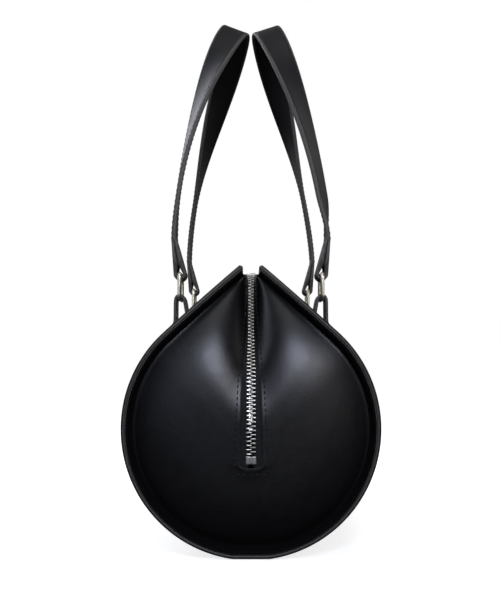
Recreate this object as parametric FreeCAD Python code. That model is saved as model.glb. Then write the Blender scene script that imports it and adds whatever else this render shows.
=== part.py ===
"""A leather barrel bag: a rolled body, two sunk end panels, a long zip and two strap handles on rings.

The frame has +Z up, the barrel's axis along Y and the origin on the ground under the middle of the bag.
Heights marked "above the axis" are measured from the barrel's axis. Lengths are millimetres.
"""
import FreeCAD
import Part
import math
import os

V = FreeCAD.Vector

# Body: a rolled sheet with a round belly and two straight flanks that lean together under the zip.
body_length = 300.0
body_radius = 78.0
wrap_thickness = 2.4
base_flat_width = 22.0
roof_slope_degrees = 43.0
top_gap = 15.0
shoulder_height = 40.0
shoulder_setback = 30.0

# End panels: a sheet whose edge is turned outwards to line the rim of the body.
panel_thickness = 2.0
flange_depth = 9.0
flange_bend = 2.0
panel_bulge = 9.0
panel_crown = 3.0
base_blend = 1.0
seam_clearance = 0.12
panel_columns = 48
panel_rows = 6

# Zip: a chain that climbs one end panel, sinks back over its top, and runs along the ridge.
tooth_pitch = 2.54
tooth_length = 1.1
tooth_height = 2.6
tooth_reach = 2.9
tooth_overlap = 0.55
tape_thickness = 0.8
tape_inner_edge = 1.9
tape_bend = 6.0
tape_hem = 4.5
hem_fall_degrees = 12.0
slot_width = 12.6
slot_foot_depth = 24.4
zip_tail = 7.0
zip_bend_height = 1.0
zip_bend_radius = 65.0
zip_lean_degrees = 35.0
zip_crest_radius = 25.0
valley_degrees = 45.0
valley_start_height = 14.0
valley_full_height = 66.0
stop_width = 6.6
stop_length = 5.2
stop_height = 3.2
stop_foot_depth = 21.6

# Zip sliders: two plates round the chain, joined by a wedge, with a bridge that holds the pull.
slider_length = 11.0
slider_plate = 1.0
slider_flange = 0.7
slider_flange_drop = 0.9
slider_tail_width = 8.0
slider_clearance = 0.25
slider_meeting_gap = 0.4
wedge_width = 1.8
wedge_length = 4.5
spread_start = 1.0
spread_end = 7.5
bridge_length = 7.0
bridge_width = 2.4
bridge_thickness = 1.1
bridge_rise = 2.4
pull_length = 24.0
pull_width = 8.0
pull_thickness = 1.4
pull_arm = 1.8
pull_pin = 1.6
pull_clearance = 0.4
pull_hole = 3.6

# Handle fittings: leather tabs on the flanks and wire rings in them.
tab_spacing = 164.0
tab_offset_share = 0.6026
tab_rise = 18.0
tab_layer = 2.0
tab_inner_foot = 5.0
tab_outer_foot = 3.0
tab_eye_length = 12.0
tab_end_degrees = 76.0
ring_wire = 3.0
ring_inner_height = 13.5
ring_side_clearance = 1.5
ring_corner = 2.5
loop_clearance = 0.4

# Handles: flat straps that rise from the rings, twist a quarter turn and arch over.
strap_width = 21.0
strap_thickness = 3.2
strap_layer = 2.2
strap_loop_height = 24.0
strap_eye_height = 6.0
loop_lean_degrees = 10.0
handle_height = 191.0
handle_gap = 0.6
handle_stations = 32
face_spans = 4
left_front_twist_start_share = 0.40
left_rear_twist_start_share = 0.30
right_front_twist_start_share = 0.22
right_rear_twist_start_share = 0.40
lean_share_power = 1.7

cut_overrun = 5.0

# Values that follow from the sizes above.
roof = math.radians(roof_slope_degrees)
lean = math.radians(zip_lean_degrees)
hem_fall = math.radians(hem_fall_degrees)
axis_height = math.sqrt(body_radius ** 2 - (base_flat_width / 2) ** 2)
half_length = body_length / 2
half_gap = top_gap / 2
tab_offset = body_radius * tab_offset_share
half_slot = slot_width / 2
half_tape = tape_thickness / 2


def flank_height(offset, inset):
    """Height above the axis of a flank's surface at an offset from the middle, inset from the outside."""
    return (body_radius - inset) / math.cos(roof) - offset * math.tan(roof)


top_height = flank_height(half_gap, 0)
shoulder_rise = top_height - shoulder_height
shoulder_radius = (shoulder_rise ** 2 + shoulder_setback ** 2) / (2 * shoulder_setback)
tape_front = half_tape + seam_clearance
zip_setback = flange_depth - panel_bulge + tape_front
ridge_height = flank_height(tape_bend, wrap_thickness) - tape_front / math.cos(roof)
bar_height = axis_height + flank_height(tab_offset, 0) + tab_rise
ring_pitch = ring_inner_height + ring_wire
ring_width = strap_width + 2 * (ring_side_clearance + ring_wire)
eye_radius = ring_wire / 2 + loop_clearance
tab_spots = {"front": -tab_spacing / 2, "rear": tab_spacing / 2}
sides = {"left": -1, "right": 1}


def smooth(value, start, end):
    """A share that eases from 0 at the start to 1 at the end."""
    share = min(max((value - start) / (end - start), 0), 1)
    return share * share * (3 - 2 * share)


def blend(start, end, share):
    """The point that lies a share of the way between two points or numbers."""
    return start + (end - start) * share


def face_of(edges):
    """A flat face inside a closed run of edges."""
    return Part.Face(Part.Wire(edges))


def polygon_face(points):
    """A flat face with straight sides."""
    return Part.Face(Part.makePolygon(list(points) + [points[0]]))


def arc(start, middle, end):
    """A round edge through three points."""
    return Part.Arc(start, middle, end).toShape()


def line(start, end):
    """A straight edge."""
    return Part.LineSegment(start, end).toShape()


def knots(count, degree):
    """Knot values and their repeats for a clamped, evenly divided spline."""
    spans = count - degree
    repeats = [degree + 1] + [1] * (spans - 1) + [degree + 1]
    return list(range(spans + 1)), repeats


def pushed_out(grid):
    """The grid's rows moved by a sixth of their bend, so that the face they draw passes through them."""
    moved = [grid[0]]
    for before, row, after in zip(grid, grid[1:], grid[2:]):
        bends = [first - spot * 2 + last for first, spot, last in zip(before, row, after)]
        moved.append([spot - bend / 6 for spot, bend in zip(row, bends)])
    return moved + [grid[-1]]


def drawn_surface(grid):
    """A smooth surface that follows a grid of points without swinging far past them."""
    rows, columns = len(grid), len(grid[0])
    row_degree, column_degree = min(3, rows - 1), min(3, columns - 1)
    row_knots, row_repeats = knots(rows, row_degree)
    column_knots, column_repeats = knots(columns, column_degree)
    surface = Part.BSplineSurface()
    poles = pushed_out(grid)
    repeats = (row_repeats, column_repeats)
    spacing = (row_knots, column_knots)
    surface.buildFromPolesMultsKnots(poles, *repeats, *spacing, False, False, row_degree, column_degree)
    return surface


def closed_solid(faces):
    """A solid inside a set of faces that meet along their edges."""
    skin = Part.Compound(faces)
    skin.sewShape()
    solid = Part.Solid(skin.Shells[0])
    if solid.Volume < 0:
        solid.reverse()
    return solid


# Body wrap


def rim_setback(height):
    """How far the rim has leaned back at a height above the axis: an arc over the shoulder."""
    climb = max(height - shoulder_height, 0)
    return shoulder_radius - math.sqrt(shoulder_radius ** 2 - climb ** 2)


def wrap_outline(inset):
    """Half of the rolled sheet's section at an inset: top edge, flank foot, belly, base edge."""
    radius = body_radius - inset
    base = axis_height - inset
    corner = V(half_gap, 0, top_height) - V(math.sin(roof), 0, math.cos(roof)) * inset
    foot = V(math.sin(roof), 0, math.cos(roof)) * radius
    side_angle = (roof + math.pi) / 2
    belly = V(math.sin(side_angle), 0, math.cos(side_angle)) * radius
    edge = V(math.sqrt(radius ** 2 - base ** 2), 0, -base)
    return [corner, foot, belly, edge]


def mirrored(point):
    """The same point on the other side of the bag."""
    return V(-point.x, point.y, point.z)


def body_wrap():
    """The rolled sheet: its section carried along the barrel, with the shoulders rounded off."""
    outer = wrap_outline(0)
    inner = wrap_outline(wrap_thickness)
    edges = []
    for corner, foot, belly, edge in (outer, inner):
        edges.append(line(corner, foot))
        edges.append(arc(foot, belly, edge))
        edges.append(line(edge, mirrored(edge)))
        edges.append(arc(mirrored(edge), mirrored(belly), mirrored(foot)))
        edges.append(line(mirrored(foot), mirrored(corner)))
    edges.append(line(outer[0], inner[0]))
    edges.append(line(mirrored(outer[0]), mirrored(inner[0])))
    section = face_of(Part.__sortEdges__(edges))
    sheet = section.extrude(V(0, body_length, 0))
    sheet.translate(V(0, -half_length, axis_height))
    for end in (-1, 1):
        sheet = sheet.cut(shoulder_cut(end))
    return sheet


def shoulder_cut(end):
    """What is trimmed off above the shoulder at one end."""
    half_rise = shoulder_rise / 2
    start = V(0, -half_length, shoulder_height)
    middle = V(0, -half_length + rim_setback(shoulder_height + half_rise), shoulder_height + half_rise)
    stop = V(0, -half_length + shoulder_setback, top_height)
    above = stop + V(0, 0, cut_overrun)
    outside = V(0, -half_length - cut_overrun, above.z)
    below = V(0, outside.y, shoulder_height)
    edges = [arc(start, middle, stop), line(stop, above), line(above, outside)]
    edges += [line(outside, below), line(below, start)]
    cutter = face_of(edges).extrude(V(2 * body_radius, 0, 0))
    cutter.translate(V(-body_radius, 0, axis_height))
    if end > 0:
        cutter = cutter.mirror(V(0, 0, 0), V(0, 1, 0))
    return cutter


# Zip path

foot_height = -slot_foot_depth - zip_tail
climb_length = zip_bend_height - foot_height
bend_length = zip_bend_radius * lean
bend_end_setback = zip_setback + zip_bend_radius * (1 - math.cos(lean))
bend_end_height = zip_bend_height + zip_bend_radius * math.sin(lean)
crest_start_height = ridge_height - zip_crest_radius * (1 - math.sin(lean))
slant_length = (crest_start_height - bend_end_height) / math.cos(lean)
slant_end_setback = bend_end_setback + slant_length * math.sin(lean)
crest_length = zip_crest_radius * (math.pi / 2 - lean)
ridge_setback = slant_end_setback + zip_crest_radius * math.cos(lean)
crest_start = climb_length + bend_length + slant_length
ridge_start = crest_start + crest_length
zip_half_length = ridge_start + half_length - ridge_setback


def zip_point(travel):
    """Setback from the end, height above the axis, and lean, at a distance along the zip from its foot."""
    if travel <= climb_length:
        return zip_setback, foot_height + travel, 0.0
    travel -= climb_length
    if travel <= bend_length:
        turn = travel / zip_bend_radius
        setback = zip_setback + zip_bend_radius * (1 - math.cos(turn))
        return setback, zip_bend_height + zip_bend_radius * math.sin(turn), turn
    travel -= bend_length
    if travel <= slant_length:
        height = bend_end_height + travel * math.cos(lean)
        return bend_end_setback + travel * math.sin(lean), height, lean
    travel -= slant_length
    if travel <= crest_length:
        turn = lean + travel / zip_crest_radius
        setback = slant_end_setback + zip_crest_radius * (math.cos(lean) - math.cos(turn))
        return setback, crest_start_height + zip_crest_radius * (math.sin(turn) - math.sin(lean)), turn
    return ridge_setback + travel - crest_length, ridge_height, math.pi / 2


wedge_pass = wedge_width / 2 + tooth_overlap + slider_clearance


def valley_tilt(travel):
    """How far each half of the zip tips towards the other: none at the foot and on the ridge."""
    height = zip_point(travel)[1]
    sink = smooth(height, valley_start_height, valley_full_height)
    level = smooth(travel, crest_start, ridge_start)
    return math.radians(valley_degrees) * sink * (1 - level)


def row_spread(travel):
    """How far each row stands aside under the two closed sliders, where their wedges part the teeth."""
    from_middle = zip_half_length - travel
    return wedge_pass * (1 - smooth(from_middle, spread_start, spread_end))


def zip_frame(travel, end, side):
    """Middle of the chain, its direction, and the sideways and outward directions of one half."""
    setback, height, turn = zip_point(travel)
    tilt = valley_tilt(travel)
    middle = V(0, end * (half_length - setback), axis_height + height)
    along = V(0, -end * math.sin(turn), math.cos(turn))
    out = V(0, end * math.cos(turn), math.sin(turn))
    aside = V(side, 0, 0)
    across = aside * math.cos(tilt) + out * math.sin(tilt)
    outward = out * math.cos(tilt) - aside * math.sin(tilt)
    return middle + across * row_spread(travel), along, across, outward


# End panels

flange_inset = wrap_thickness + seam_clearance
bend_inset = flange_inset + panel_thickness + flange_bend
bend_depth = flange_depth - panel_thickness - flange_bend
top_margin = seam_clearance + panel_thickness
slot_edge_start = zip_tail + half_slot
slot_edge_length = crest_start - slot_edge_start
slot_end_length = half_slot * math.pi / 2
fold_share_power = 5
column_share_power = 1.8
bend_shares = (0.0, 0.5, 1.0)


def rim_point(share, inset):
    """A point of the rim, inset from the outside: down the flank, then round the belly to the base."""
    radius = body_radius - inset
    top = V(half_gap, 0, top_height) - V(math.sin(roof), 0, math.cos(roof)) * inset
    foot = V(math.sin(roof), 0, math.cos(roof)) * radius
    top = top + (foot - top).normalize() * top_margin
    flank_length = (foot - top).Length
    whole = flank_length + radius * (math.pi - roof)
    travel = share * whole
    if travel <= flank_length:
        return top + (foot - top) * (travel / flank_length)
    angle = roof + (travel - flank_length) / radius
    drop = -radius * math.cos(angle)
    base = axis_height - inset
    settled = (drop + base - math.sqrt((drop - base) ** 2 + base_blend ** 2)) / 2
    return V(radius * math.sin(angle), 0, -settled)


def slot_point(share, side, lift):
    """A point of the slot's edge, lifted off the tape: down the straight edge, then round the foot."""
    travel = (1 - (1 - share) ** fold_share_power) * (slot_edge_length + slot_end_length)
    if travel <= slot_edge_length:
        middle, along, across, outward = zip_frame(crest_start - travel, -1, side)
        return middle + across * half_slot + outward * lift
    turn = (travel - slot_edge_length) / half_slot
    middle, along, across, outward = zip_frame(slot_edge_start, -1, side)
    round_the_foot = (across * math.cos(turn) - along * math.sin(turn)) * half_slot
    return middle + round_the_foot + outward * lift


def panel_column(share, side, front):
    """One line of the panel's front or back surface: along the flange, round its bend, in to the slot."""
    skin = panel_thickness if front else 0
    radius = panel_thickness + flange_bend - skin
    lift = tape_front + skin
    rim = []
    for depth in (0, bend_depth / 2):
        rim.append((flange_inset + skin, depth))
    for bend_share in bend_shares:
        angle = bend_share * math.pi / 2
        rim.append((bend_inset - radius * math.cos(angle), bend_depth + radius * math.sin(angle)))
    points = []
    for inset, depth in rim:
        spot = rim_point(share, inset)
        setback = rim_setback(min(rim_point(share, flange_inset).z, top_height))
        points.append(V(side * spot.x, -half_length + setback + depth, axis_height + spot.z))
    start = points[-1]
    end = slot_point(share, side, lift)
    for row in range(1, panel_rows + 1):
        along = row / panel_rows
        swell = 4 * panel_crown * along * (1 - along)
        points.append(blend(start, end, along) - V(0, swell, 0))
    return points


def panel_surface(front):
    """One smooth surface drawn by the lines of one side of the panel."""
    half = panel_columns // 2
    shares = [(step / half) ** column_share_power for step in range(half + 1)]
    columns = [panel_column(share, -1, front) for share in shares]
    columns += [panel_column(share, 1, front) for share in reversed(shares[:-1])]
    return drawn_surface(columns).toShape()


def end_panel(end):
    """A sunk round end: a sheet with a turned-out edge, swollen below and drawn in at the top."""
    front = panel_surface(True)
    back = panel_surface(False)
    faces = [front, back]
    for first, second in zip(front.Edges, back.Edges):
        faces.append(Part.makeRuledSurface(first, second))
    panel = closed_solid(faces)
    if end > 0:
        panel = panel.mirror(V(0, 0, 0), V(0, 1, 0))
    return panel


# Zip tapes, teeth and stops

straight_steps = 4
turn_steps = 7
hem_turn_start = crest_start - tape_bend
hem_turn_end = (crest_start + ridge_start) / 2


def even_steps(start, end, count):
    """Evenly spaced distances from a start up to an end, without the end."""
    return [blend(start, end, step / count) for step in range(count)]


def tape_stations():
    """Distances along the zip where the tape's section is set, closer together on its bends."""
    bend_end = climb_length + bend_length
    stations = even_steps(0, climb_length, straight_steps)
    stations += even_steps(climb_length, bend_end, turn_steps)
    stations += even_steps(bend_end, crest_start, 2 * turn_steps)
    stations += even_steps(crest_start, ridge_start, 2 * turn_steps)
    stations += even_steps(ridge_start, zip_half_length - slider_length, straight_steps)
    stations += even_steps(zip_half_length - slider_length, zip_half_length, turn_steps)
    return stations + [zip_half_length]


def hem_direction(travel, across, outward):
    """The way the tape's outer hem points: on behind the panel, or down under the flank on the ridge."""
    fall = blend(hem_fall, roof + valley_tilt(travel), smooth(travel, hem_turn_start, hem_turn_end))
    return across * math.cos(fall) - outward * math.sin(fall)


def tape_section(travel, end, side):
    """The tape's thin section: from its corded edge to the bend, and on to the hem."""
    middle, along, across, outward = zip_frame(travel, end, side)
    hem = hem_direction(travel, across, outward)
    bend = middle + across * (tape_bend - row_spread(travel))
    brim = bend + hem * tape_hem
    hem_out = hem.cross(along)
    if hem_out.dot(outward) < 0:
        hem_out = -hem_out
    crease = (outward + hem_out).normalize()
    inner = middle + across * tape_inner_edge
    points = [inner + outward * half_tape, bend + crease * half_tape, brim + hem_out * half_tape]
    points += [brim - hem_out * half_tape, bend - crease * half_tape, inner - outward * half_tape]
    return Part.makePolygon(points + [points[0]])


def zip_tape(side):
    """One tape, from its foot on the near panel over the ridge to its foot on the far panel."""
    stations = tape_stations()
    sections = [tape_section(travel, -1, side) for travel in stations]
    sections += [tape_section(travel, 1, side) for travel in reversed(stations[:-1])]
    return Part.makeLoft(sections, True, True)


def tooth():
    """One tooth: a pointed head and two legs that grip the tape, placed from the chain's middle line."""
    half = tooth_length / 2
    outline = [V(tooth_reach, half, 0), V(half - tooth_overlap, half, 0), V(-tooth_overlap, 0, 0)]
    outline += [V(half - tooth_overlap, -half, 0), V(tooth_reach, -half, 0)]
    solid = polygon_face(outline).extrude(V(0, 0, tooth_height))
    solid.translate(V(0, 0, -tooth_height / 2))
    slit_height = tape_thickness + 2 * seam_clearance
    slit = Part.makeBox(tooth_reach, tooth_length, slit_height)
    slit.translate(V(tape_inner_edge - seam_clearance, -half, -slit_height / 2))
    return solid.cut(slit)


def zip_teeth(side):
    """One row of teeth, set half a pitch from the other row so that the two rows mesh."""
    first = tooth_pitch / 2 if side < 0 else 0.0
    chain_length = zip_half_length - zip_tail - (slot_foot_depth - stop_foot_depth) - stop_length
    count = int((chain_length - first - tooth_length) / tooth_pitch) + 1
    pattern = tooth()
    row = []
    for end in sides.values():
        for step in range(count):
            from_middle = first + step * tooth_pitch
            if from_middle == 0 and end > 0:
                continue
            spot, along, across, outward = zip_frame(zip_half_length - from_middle, end, side)
            piece = pattern.copy()
            turn = FreeCAD.Rotation(across, outward.cross(across), outward, "XZY")
            piece.Placement = FreeCAD.Placement(spot, turn)
            row.append(piece)
    return Part.Compound(row)


def zip_stop(end):
    """The square stop below the last teeth, with a groove down its face."""
    travel = zip_tail + slot_foot_depth - stop_foot_depth + stop_length / 2
    middle, along, across, outward = zip_frame(travel, end, 1)
    middle = V(0, middle.y, middle.z)
    block = Part.makeBox(stop_width, stop_height, stop_length)
    block.translate(V(-stop_width / 2, -stop_height / 2, -stop_length / 2))
    slit = Part.makeBox(stop_width, tape_thickness + 2 * seam_clearance, stop_length)
    slit.translate(V(tape_inner_edge - seam_clearance, -slit.BoundBox.YLength / 2, -stop_length / 2))
    block = block.cut(slit).cut(slit.mirror(V(0, 0, 0), V(1, 0, 0)))
    block.translate(middle)
    return block


# Zip sliders and pulls

nose_half_width = tooth_reach + wedge_pass + slider_clearance + slider_flange
plate_bottom = tooth_height / 2 + slider_clearance
plate_top = plate_bottom + slider_plate
pin_height = plate_top + pull_pin / 2 + pull_clearance
nose_start = slider_meeting_gap / 2
bridge_middle = nose_start + slider_length / 2


def slider_plan(inset):
    """The slider's plan, pointing along +Y from its nose: wide at the nose, narrow at the tail."""
    nose = nose_half_width - inset
    tail = slider_tail_width / 2 - inset
    waist = nose_start + slider_length / 2
    tip = nose_start + slider_length
    right = [V(nose, nose_start, 0), V(nose, waist - wedge_length / 2, 0)]
    right += [V(tail, waist + wedge_length / 2, 0), V(tail, tip, 0)]
    return polygon_face(right + [mirrored(point) for point in reversed(right)])


def slider_half():
    """One plate of the slider with its side flanges, above the chain's middle."""
    drop = slider_flange_drop
    plate = slider_plan(0).extrude(V(0, 0, slider_plate + drop))
    hollow = slider_plan(slider_flange).extrude(V(0, 0, drop))
    plate = plate.cut(hollow.fuse(hollow_reach(drop)))
    plate.translate(V(0, 0, plate_bottom - drop))
    return plate


def hollow_reach(drop):
    """The channel's open ends, past the nose and the tail."""
    reach = slider_tail_width / 2 - slider_flange
    channel = Part.makeBox(2 * reach, slider_length + 2 * cut_overrun, drop)
    channel.translate(V(-reach, nose_start - cut_overrun, 0))
    return channel


def slider_wedge():
    """The wedge between the plates at the nose, which parts the teeth."""
    half = wedge_width / 2
    plan = polygon_face([V(-half, nose_start, 0), V(half, nose_start, 0), V(0, nose_start + wedge_length, 0)])
    wedge = plan.extrude(V(0, 0, 2 * plate_bottom))
    wedge.translate(V(0, 0, -plate_bottom))
    return wedge


def slider_bridge():
    """The arched bridge on the upper plate that holds the pull's pin."""
    outer = Part.makeBox(bridge_width, bridge_length, bridge_rise + bridge_thickness)
    inner = Part.makeBox(bridge_width, bridge_length - 2 * bridge_thickness, bridge_rise)
    outer.translate(V(-bridge_width / 2, -bridge_length / 2, 0))
    inner.translate(V(-bridge_width / 2, bridge_thickness - bridge_length / 2, 0))
    tops = [edge for edge in outer.Edges if is_top_end(edge, outer.BoundBox)]
    bridge = outer.makeFillet(bridge_thickness, tops).cut(inner)
    bridge.translate(V(0, bridge_middle, plate_top))
    return bridge


def is_top_end(edge, box):
    """Whether an edge is one of the two top edges across the bridge."""
    ends = edge.BoundBox
    return ends.ZMin > box.Center.z and ends.YLength < ends.XLength


def on_ridge(shape, end):
    """Sets a piece drawn at the ridge's middle, pointing along +Y, on its own end of the zip."""
    if end < 0:
        shape = shape.mirror(V(0, 0, 0), V(0, 1, 0))
    shape.translate(V(0, 0, axis_height + ridge_height))
    return shape


def slider(end):
    """One slider: upper and lower plates, the wedge between them and the bridge on top."""
    upper = slider_half()
    lower = upper.mirror(V(0, 0, 0), V(0, 0, 1))
    body = upper.fuse([lower, slider_wedge(), slider_bridge()])
    return on_ridge(body.removeSplitter(), end)


def pull(end):
    """One pull: a pin under the bridge, two arms and a flat tab with a round hole."""
    window_width = bridge_width + 2 * pull_clearance
    window_length = bridge_length / 2 + pull_clearance
    half_head = window_width / 2 + pull_arm
    half_tab = pull_width / 2
    shoulder = window_length + pull_arm
    tip = pull_length - half_tab
    head = [V(-half_head, 0, 0), V(-half_head, window_length, 0), V(-half_tab, shoulder + pull_arm, 0)]
    edges = [line(head[0], head[1]), line(head[1], head[2]), line(head[2], V(-half_tab, tip, 0))]
    edges.append(arc(V(-half_tab, tip, 0), V(0, pull_length, 0), V(half_tab, tip, 0)))
    edges += [line(V(half_tab, tip, 0), mirrored(head[2])), line(mirrored(head[2]), mirrored(head[1]))]
    edges += [line(mirrored(head[1]), mirrored(head[0])), line(mirrored(head[0]), head[0])]
    plate = face_of(edges).extrude(V(0, 0, pull_thickness))
    window = Part.makeBox(window_width, window_length + cut_overrun, pull_thickness)
    window.translate(V(-window_width / 2, -cut_overrun, 0))
    hole = Part.makeCylinder(pull_hole / 2, pull_thickness, V(0, tip, 0))
    plate = plate.cut(window).cut(hole)
    plate.translate(V(0, 0, -pull_thickness / 2))
    knuckle = Part.makeCylinder(pull_pin / 2, 2 * half_head, V(-half_head, 0, 0), V(1, 0, 0))
    plate = plate.fuse(knuckle)
    plate.translate(V(0, bridge_middle, pin_height))
    return on_ridge(plate.removeSplitter(), end)


# Tabs, rings and handles


def tangent_point(spot, radius, side):
    """Where a line from a point of the XZ plane touches a circle round the origin, on one side."""
    reach = math.hypot(spot.x, spot.z)
    angle = math.atan2(spot.z, spot.x) - side * math.acos(radius / reach)
    return V(radius * math.cos(angle), 0, radius * math.sin(angle))


def loop_face(first, second, radius, up):
    """A drop shape: a circle round the origin with tangents to two points on its far side."""
    right = tangent_point(first, radius, up)
    left = tangent_point(second, radius, -up)
    edges = [line(first, right), arc(right, V(0, 0, -up * radius), left), line(left, second)]
    if (first - second).Length > seam_clearance:
        edges.append(line(second, first))
    return face_of(edges)


def tab(side, spot):
    """A folded leather tab: its loop stands on the flank and its two layers lie down the belly."""
    bar = V(tab_offset, 0, bar_height - axis_height)
    skin = seam_clearance + 2 * tab_layer
    inner_foot = tab_offset - tab_inner_foot
    outer_foot = tab_offset + tab_outer_foot
    foot_in = V(inner_foot, 0, flank_height(inner_foot, -seam_clearance))
    foot_out = V(outer_foot, 0, flank_height(outer_foot, -skin))
    stand = loop_face(foot_out - bar, foot_in - bar, eye_radius + tab_layer, -1)
    stand.translate(bar)
    eye_point = V(0, 0, -tab_eye_length)
    eye = loop_face(eye_point, eye_point, eye_radius, -1)
    eye.translate(bar)
    across = V(0, strap_width, 0)
    patch = tab_patch(foot_in, foot_out, skin).extrude(across)
    solid = stand.extrude(across).fuse(patch).cut(eye.extrude(across)).removeSplitter()
    solid.translate(V(0, spot - strap_width / 2, axis_height))
    if side < 0:
        solid = solid.mirror(V(0, 0, 0), V(1, 0, 0))
    return solid


def tab_patch(foot_in, foot_out, skin):
    """The part of the tab that lies on the body, from the loop's feet to its lower end."""
    end_angle = math.radians(tab_end_degrees)
    middle_angle = (roof + end_angle) / 2
    under, over = [], []
    for angle in (roof, middle_angle, end_angle):
        ray = V(math.sin(angle), 0, math.cos(angle))
        under.append(ray * (body_radius + seam_clearance))
        over.append(ray * (body_radius + skin))
    edges = [line(foot_out, over[0]), arc(*over), line(over[2], under[2]), arc(*reversed(under))]
    edges += [line(under[0], foot_in), line(foot_in, foot_out)]
    return face_of(edges)


def ring(side, spot):
    """A wire ring with rounded corners, standing in the plane of the bag's length."""
    reach = ring_width / 2 - ring_wire / 2
    rise = ring_pitch / 2
    corners = ((1, 1), (-1, 1), (-1, -1), (1, -1))
    radius = ring_wire / 2
    pieces = []
    for along, up in corners:
        bend = Part.makeTorus(ring_corner, radius, V(0, 0, 0), V(1, 0, 0), -180, 180, 90)
        quarter = math.degrees(math.atan2(up, along) - 3 * math.pi / 4)
        bend.rotate(V(0, 0, 0), V(1, 0, 0), quarter)
        bend.translate(V(0, along * (reach - ring_corner), up * (rise - ring_corner)))
        pieces.append(bend)
    for along in (-1, 1):
        post = Part.makeCylinder(radius, 2 * (rise - ring_corner))
        post.translate(V(0, along * reach, ring_corner - rise))
        pieces.append(post)
    for up in (-1, 1):
        bar = Part.makeCylinder(radius, 2 * (reach - ring_corner), V(0, 0, 0), V(0, 1, 0))
        bar.translate(V(0, ring_corner - reach, up * rise))
        pieces.append(bar)
    whole = pieces[0].fuse(pieces[1:]).removeSplitter()
    whole.translate(V(side * tab_offset, spot, bar_height + rise))
    return whole


loop_lean = math.radians(loop_lean_degrees)
arch_reach = tab_spacing / 2
arch_foot = tab_offset + strap_loop_height * math.sin(loop_lean)
loop_rise = strap_loop_height * math.cos(loop_lean)
arch_rise = handle_height - loop_rise


def top_lean(shift):
    """How far the strap's face leans from upright on top of a handle whose top is shifted in."""
    return math.atan2(lean_share_power * shift, arch_rise)


def handle_lean():
    """How far a handle's top leans in from its foot, so that the two tops all but meet."""
    shift = arch_foot
    for step in range(handle_stations):
        tip = top_lean(shift)
        edge = strap_width / 2 * math.cos(tip) + strap_thickness / 2 * math.sin(tip)
        shift = arch_foot - edge - handle_gap / 2
    return shift


lean_in = handle_lean()


def strap_section(angle, side, twist_start_shares):
    """The strap's flat section on its arch: facing sideways at the rings and turned to face up on top."""
    rise_share = math.sin(angle)
    run_share = math.cos(angle)
    twist_start_share = twist_start_shares[0] if run_share > 0 else twist_start_shares[1]
    offset = arch_foot - lean_in * rise_share ** lean_share_power
    spot = V(side * offset, -arch_reach * run_share, arch_rise * rise_share)
    offset_rate = -lean_share_power * lean_in * rise_share ** (lean_share_power - 1) * run_share
    along = V(side * offset_rate, arch_reach * rise_share, arch_rise * run_share).normalize()
    aside = V(side, 0, 0)
    aside = (aside - along * aside.dot(along)).normalize()
    crown = V(0, -arch_rise * run_share, arch_reach * rise_share)
    crown = crown - along * crown.dot(along) - aside * crown.dot(aside)
    crown.normalize()
    full_turn = math.pi / 2 + top_lean(lean_in)
    turn = full_turn * smooth(rise_share, twist_start_share, 1)
    face = aside * math.cos(turn) + crown * math.sin(turn)
    return strap_corners(spot, along, face)


def strap_corners(spot, along, face):
    """The four corners of the strap's section at a point, square to its direction."""
    half_width = along.cross(face) * (strap_width / 2)
    half_face = face * (strap_thickness / 2)
    points = [spot + half_width + half_face, spot - half_width + half_face]
    return points + [spot - half_width - half_face, spot + half_width - half_face]


def sunk_section(end, side):
    """The strap's end section, sunk into the leaning loop by its own thickness."""
    rising = V(side * math.sin(loop_lean), 0, math.cos(loop_lean))
    face = V(side * math.cos(loop_lean), 0, -math.sin(loop_lean))
    spot = V(side * arch_foot, end * arch_reach, 0) - rising * strap_thickness
    return strap_corners(spot, rising * -end, face)


def twisting_strap(side, twist_start_shares):
    """The strap between its folded ends: four smooth faces and two square ends."""
    angles = [math.pi * step / handle_stations for step in range(handle_stations + 1)]
    sections = [sunk_section(-1, side)]
    sections += [strap_section(angle, side, twist_start_shares) for angle in angles]
    sections.append(sunk_section(1, side))
    corners = len(sections[0])
    faces = [polygon_face(sections[0]), polygon_face(sections[-1])]
    for corner in range(corners):
        edges = [[section[corner], section[(corner + 1) % corners]] for section in sections]
        faces += stretches(drawn_surface(edges))
    return closed_solid(faces)


def stretches(surface):
    """A long surface cut across into faces of a few spans each."""
    first, last = surface.bounds()[:2]
    count = math.ceil((last - first) / face_spans)
    faces = []
    for step in range(count):
        piece = surface.copy()
        start = blend(first, last, step / count)
        end = blend(first, last, (step + 1) / count)
        piece.segment(start, end, *surface.bounds()[2:])
        faces.append(piece.toShape())
    return faces


def strap_loop():
    """The strap's folded end round the ring's upper bar, up to where its layers meet."""
    half = strap_thickness / 2
    right = V(half, 0, strap_loop_height)
    left = V(-half, 0, strap_loop_height)
    eye_top = V(0, 0, strap_eye_height)
    across = V(0, strap_width, 0)
    fold = loop_face(right, left, eye_radius + strap_layer, 1).extrude(across)
    loop = fold.cut(loop_face(eye_top, eye_top, eye_radius, 1).extrude(across))
    loop.translate(V(0, -strap_width / 2, 0))
    return loop


def handle(side, twist_start_shares):
    """One handle: a twisting strap with a folded loop at each end."""
    strap = twisting_strap(side, twist_start_shares)
    upper_bar = bar_height + ring_pitch
    strap.translate(V(0, 0, upper_bar + loop_rise))
    loops = []
    for spot in tab_spots.values():
        loop = strap_loop()
        loop.rotate(V(0, 0, 0), V(0, 1, 0), side * loop_lean_degrees)
        loop.translate(V(side * tab_offset, spot, upper_bar))
        loops.append(loop)
    return strap.fuse(loops).removeSplitter()


# Writing the pieces


def save(name, shape):
    """Writes one piece."""
    shape.exportStep("parts/" + name + ".step")


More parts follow.
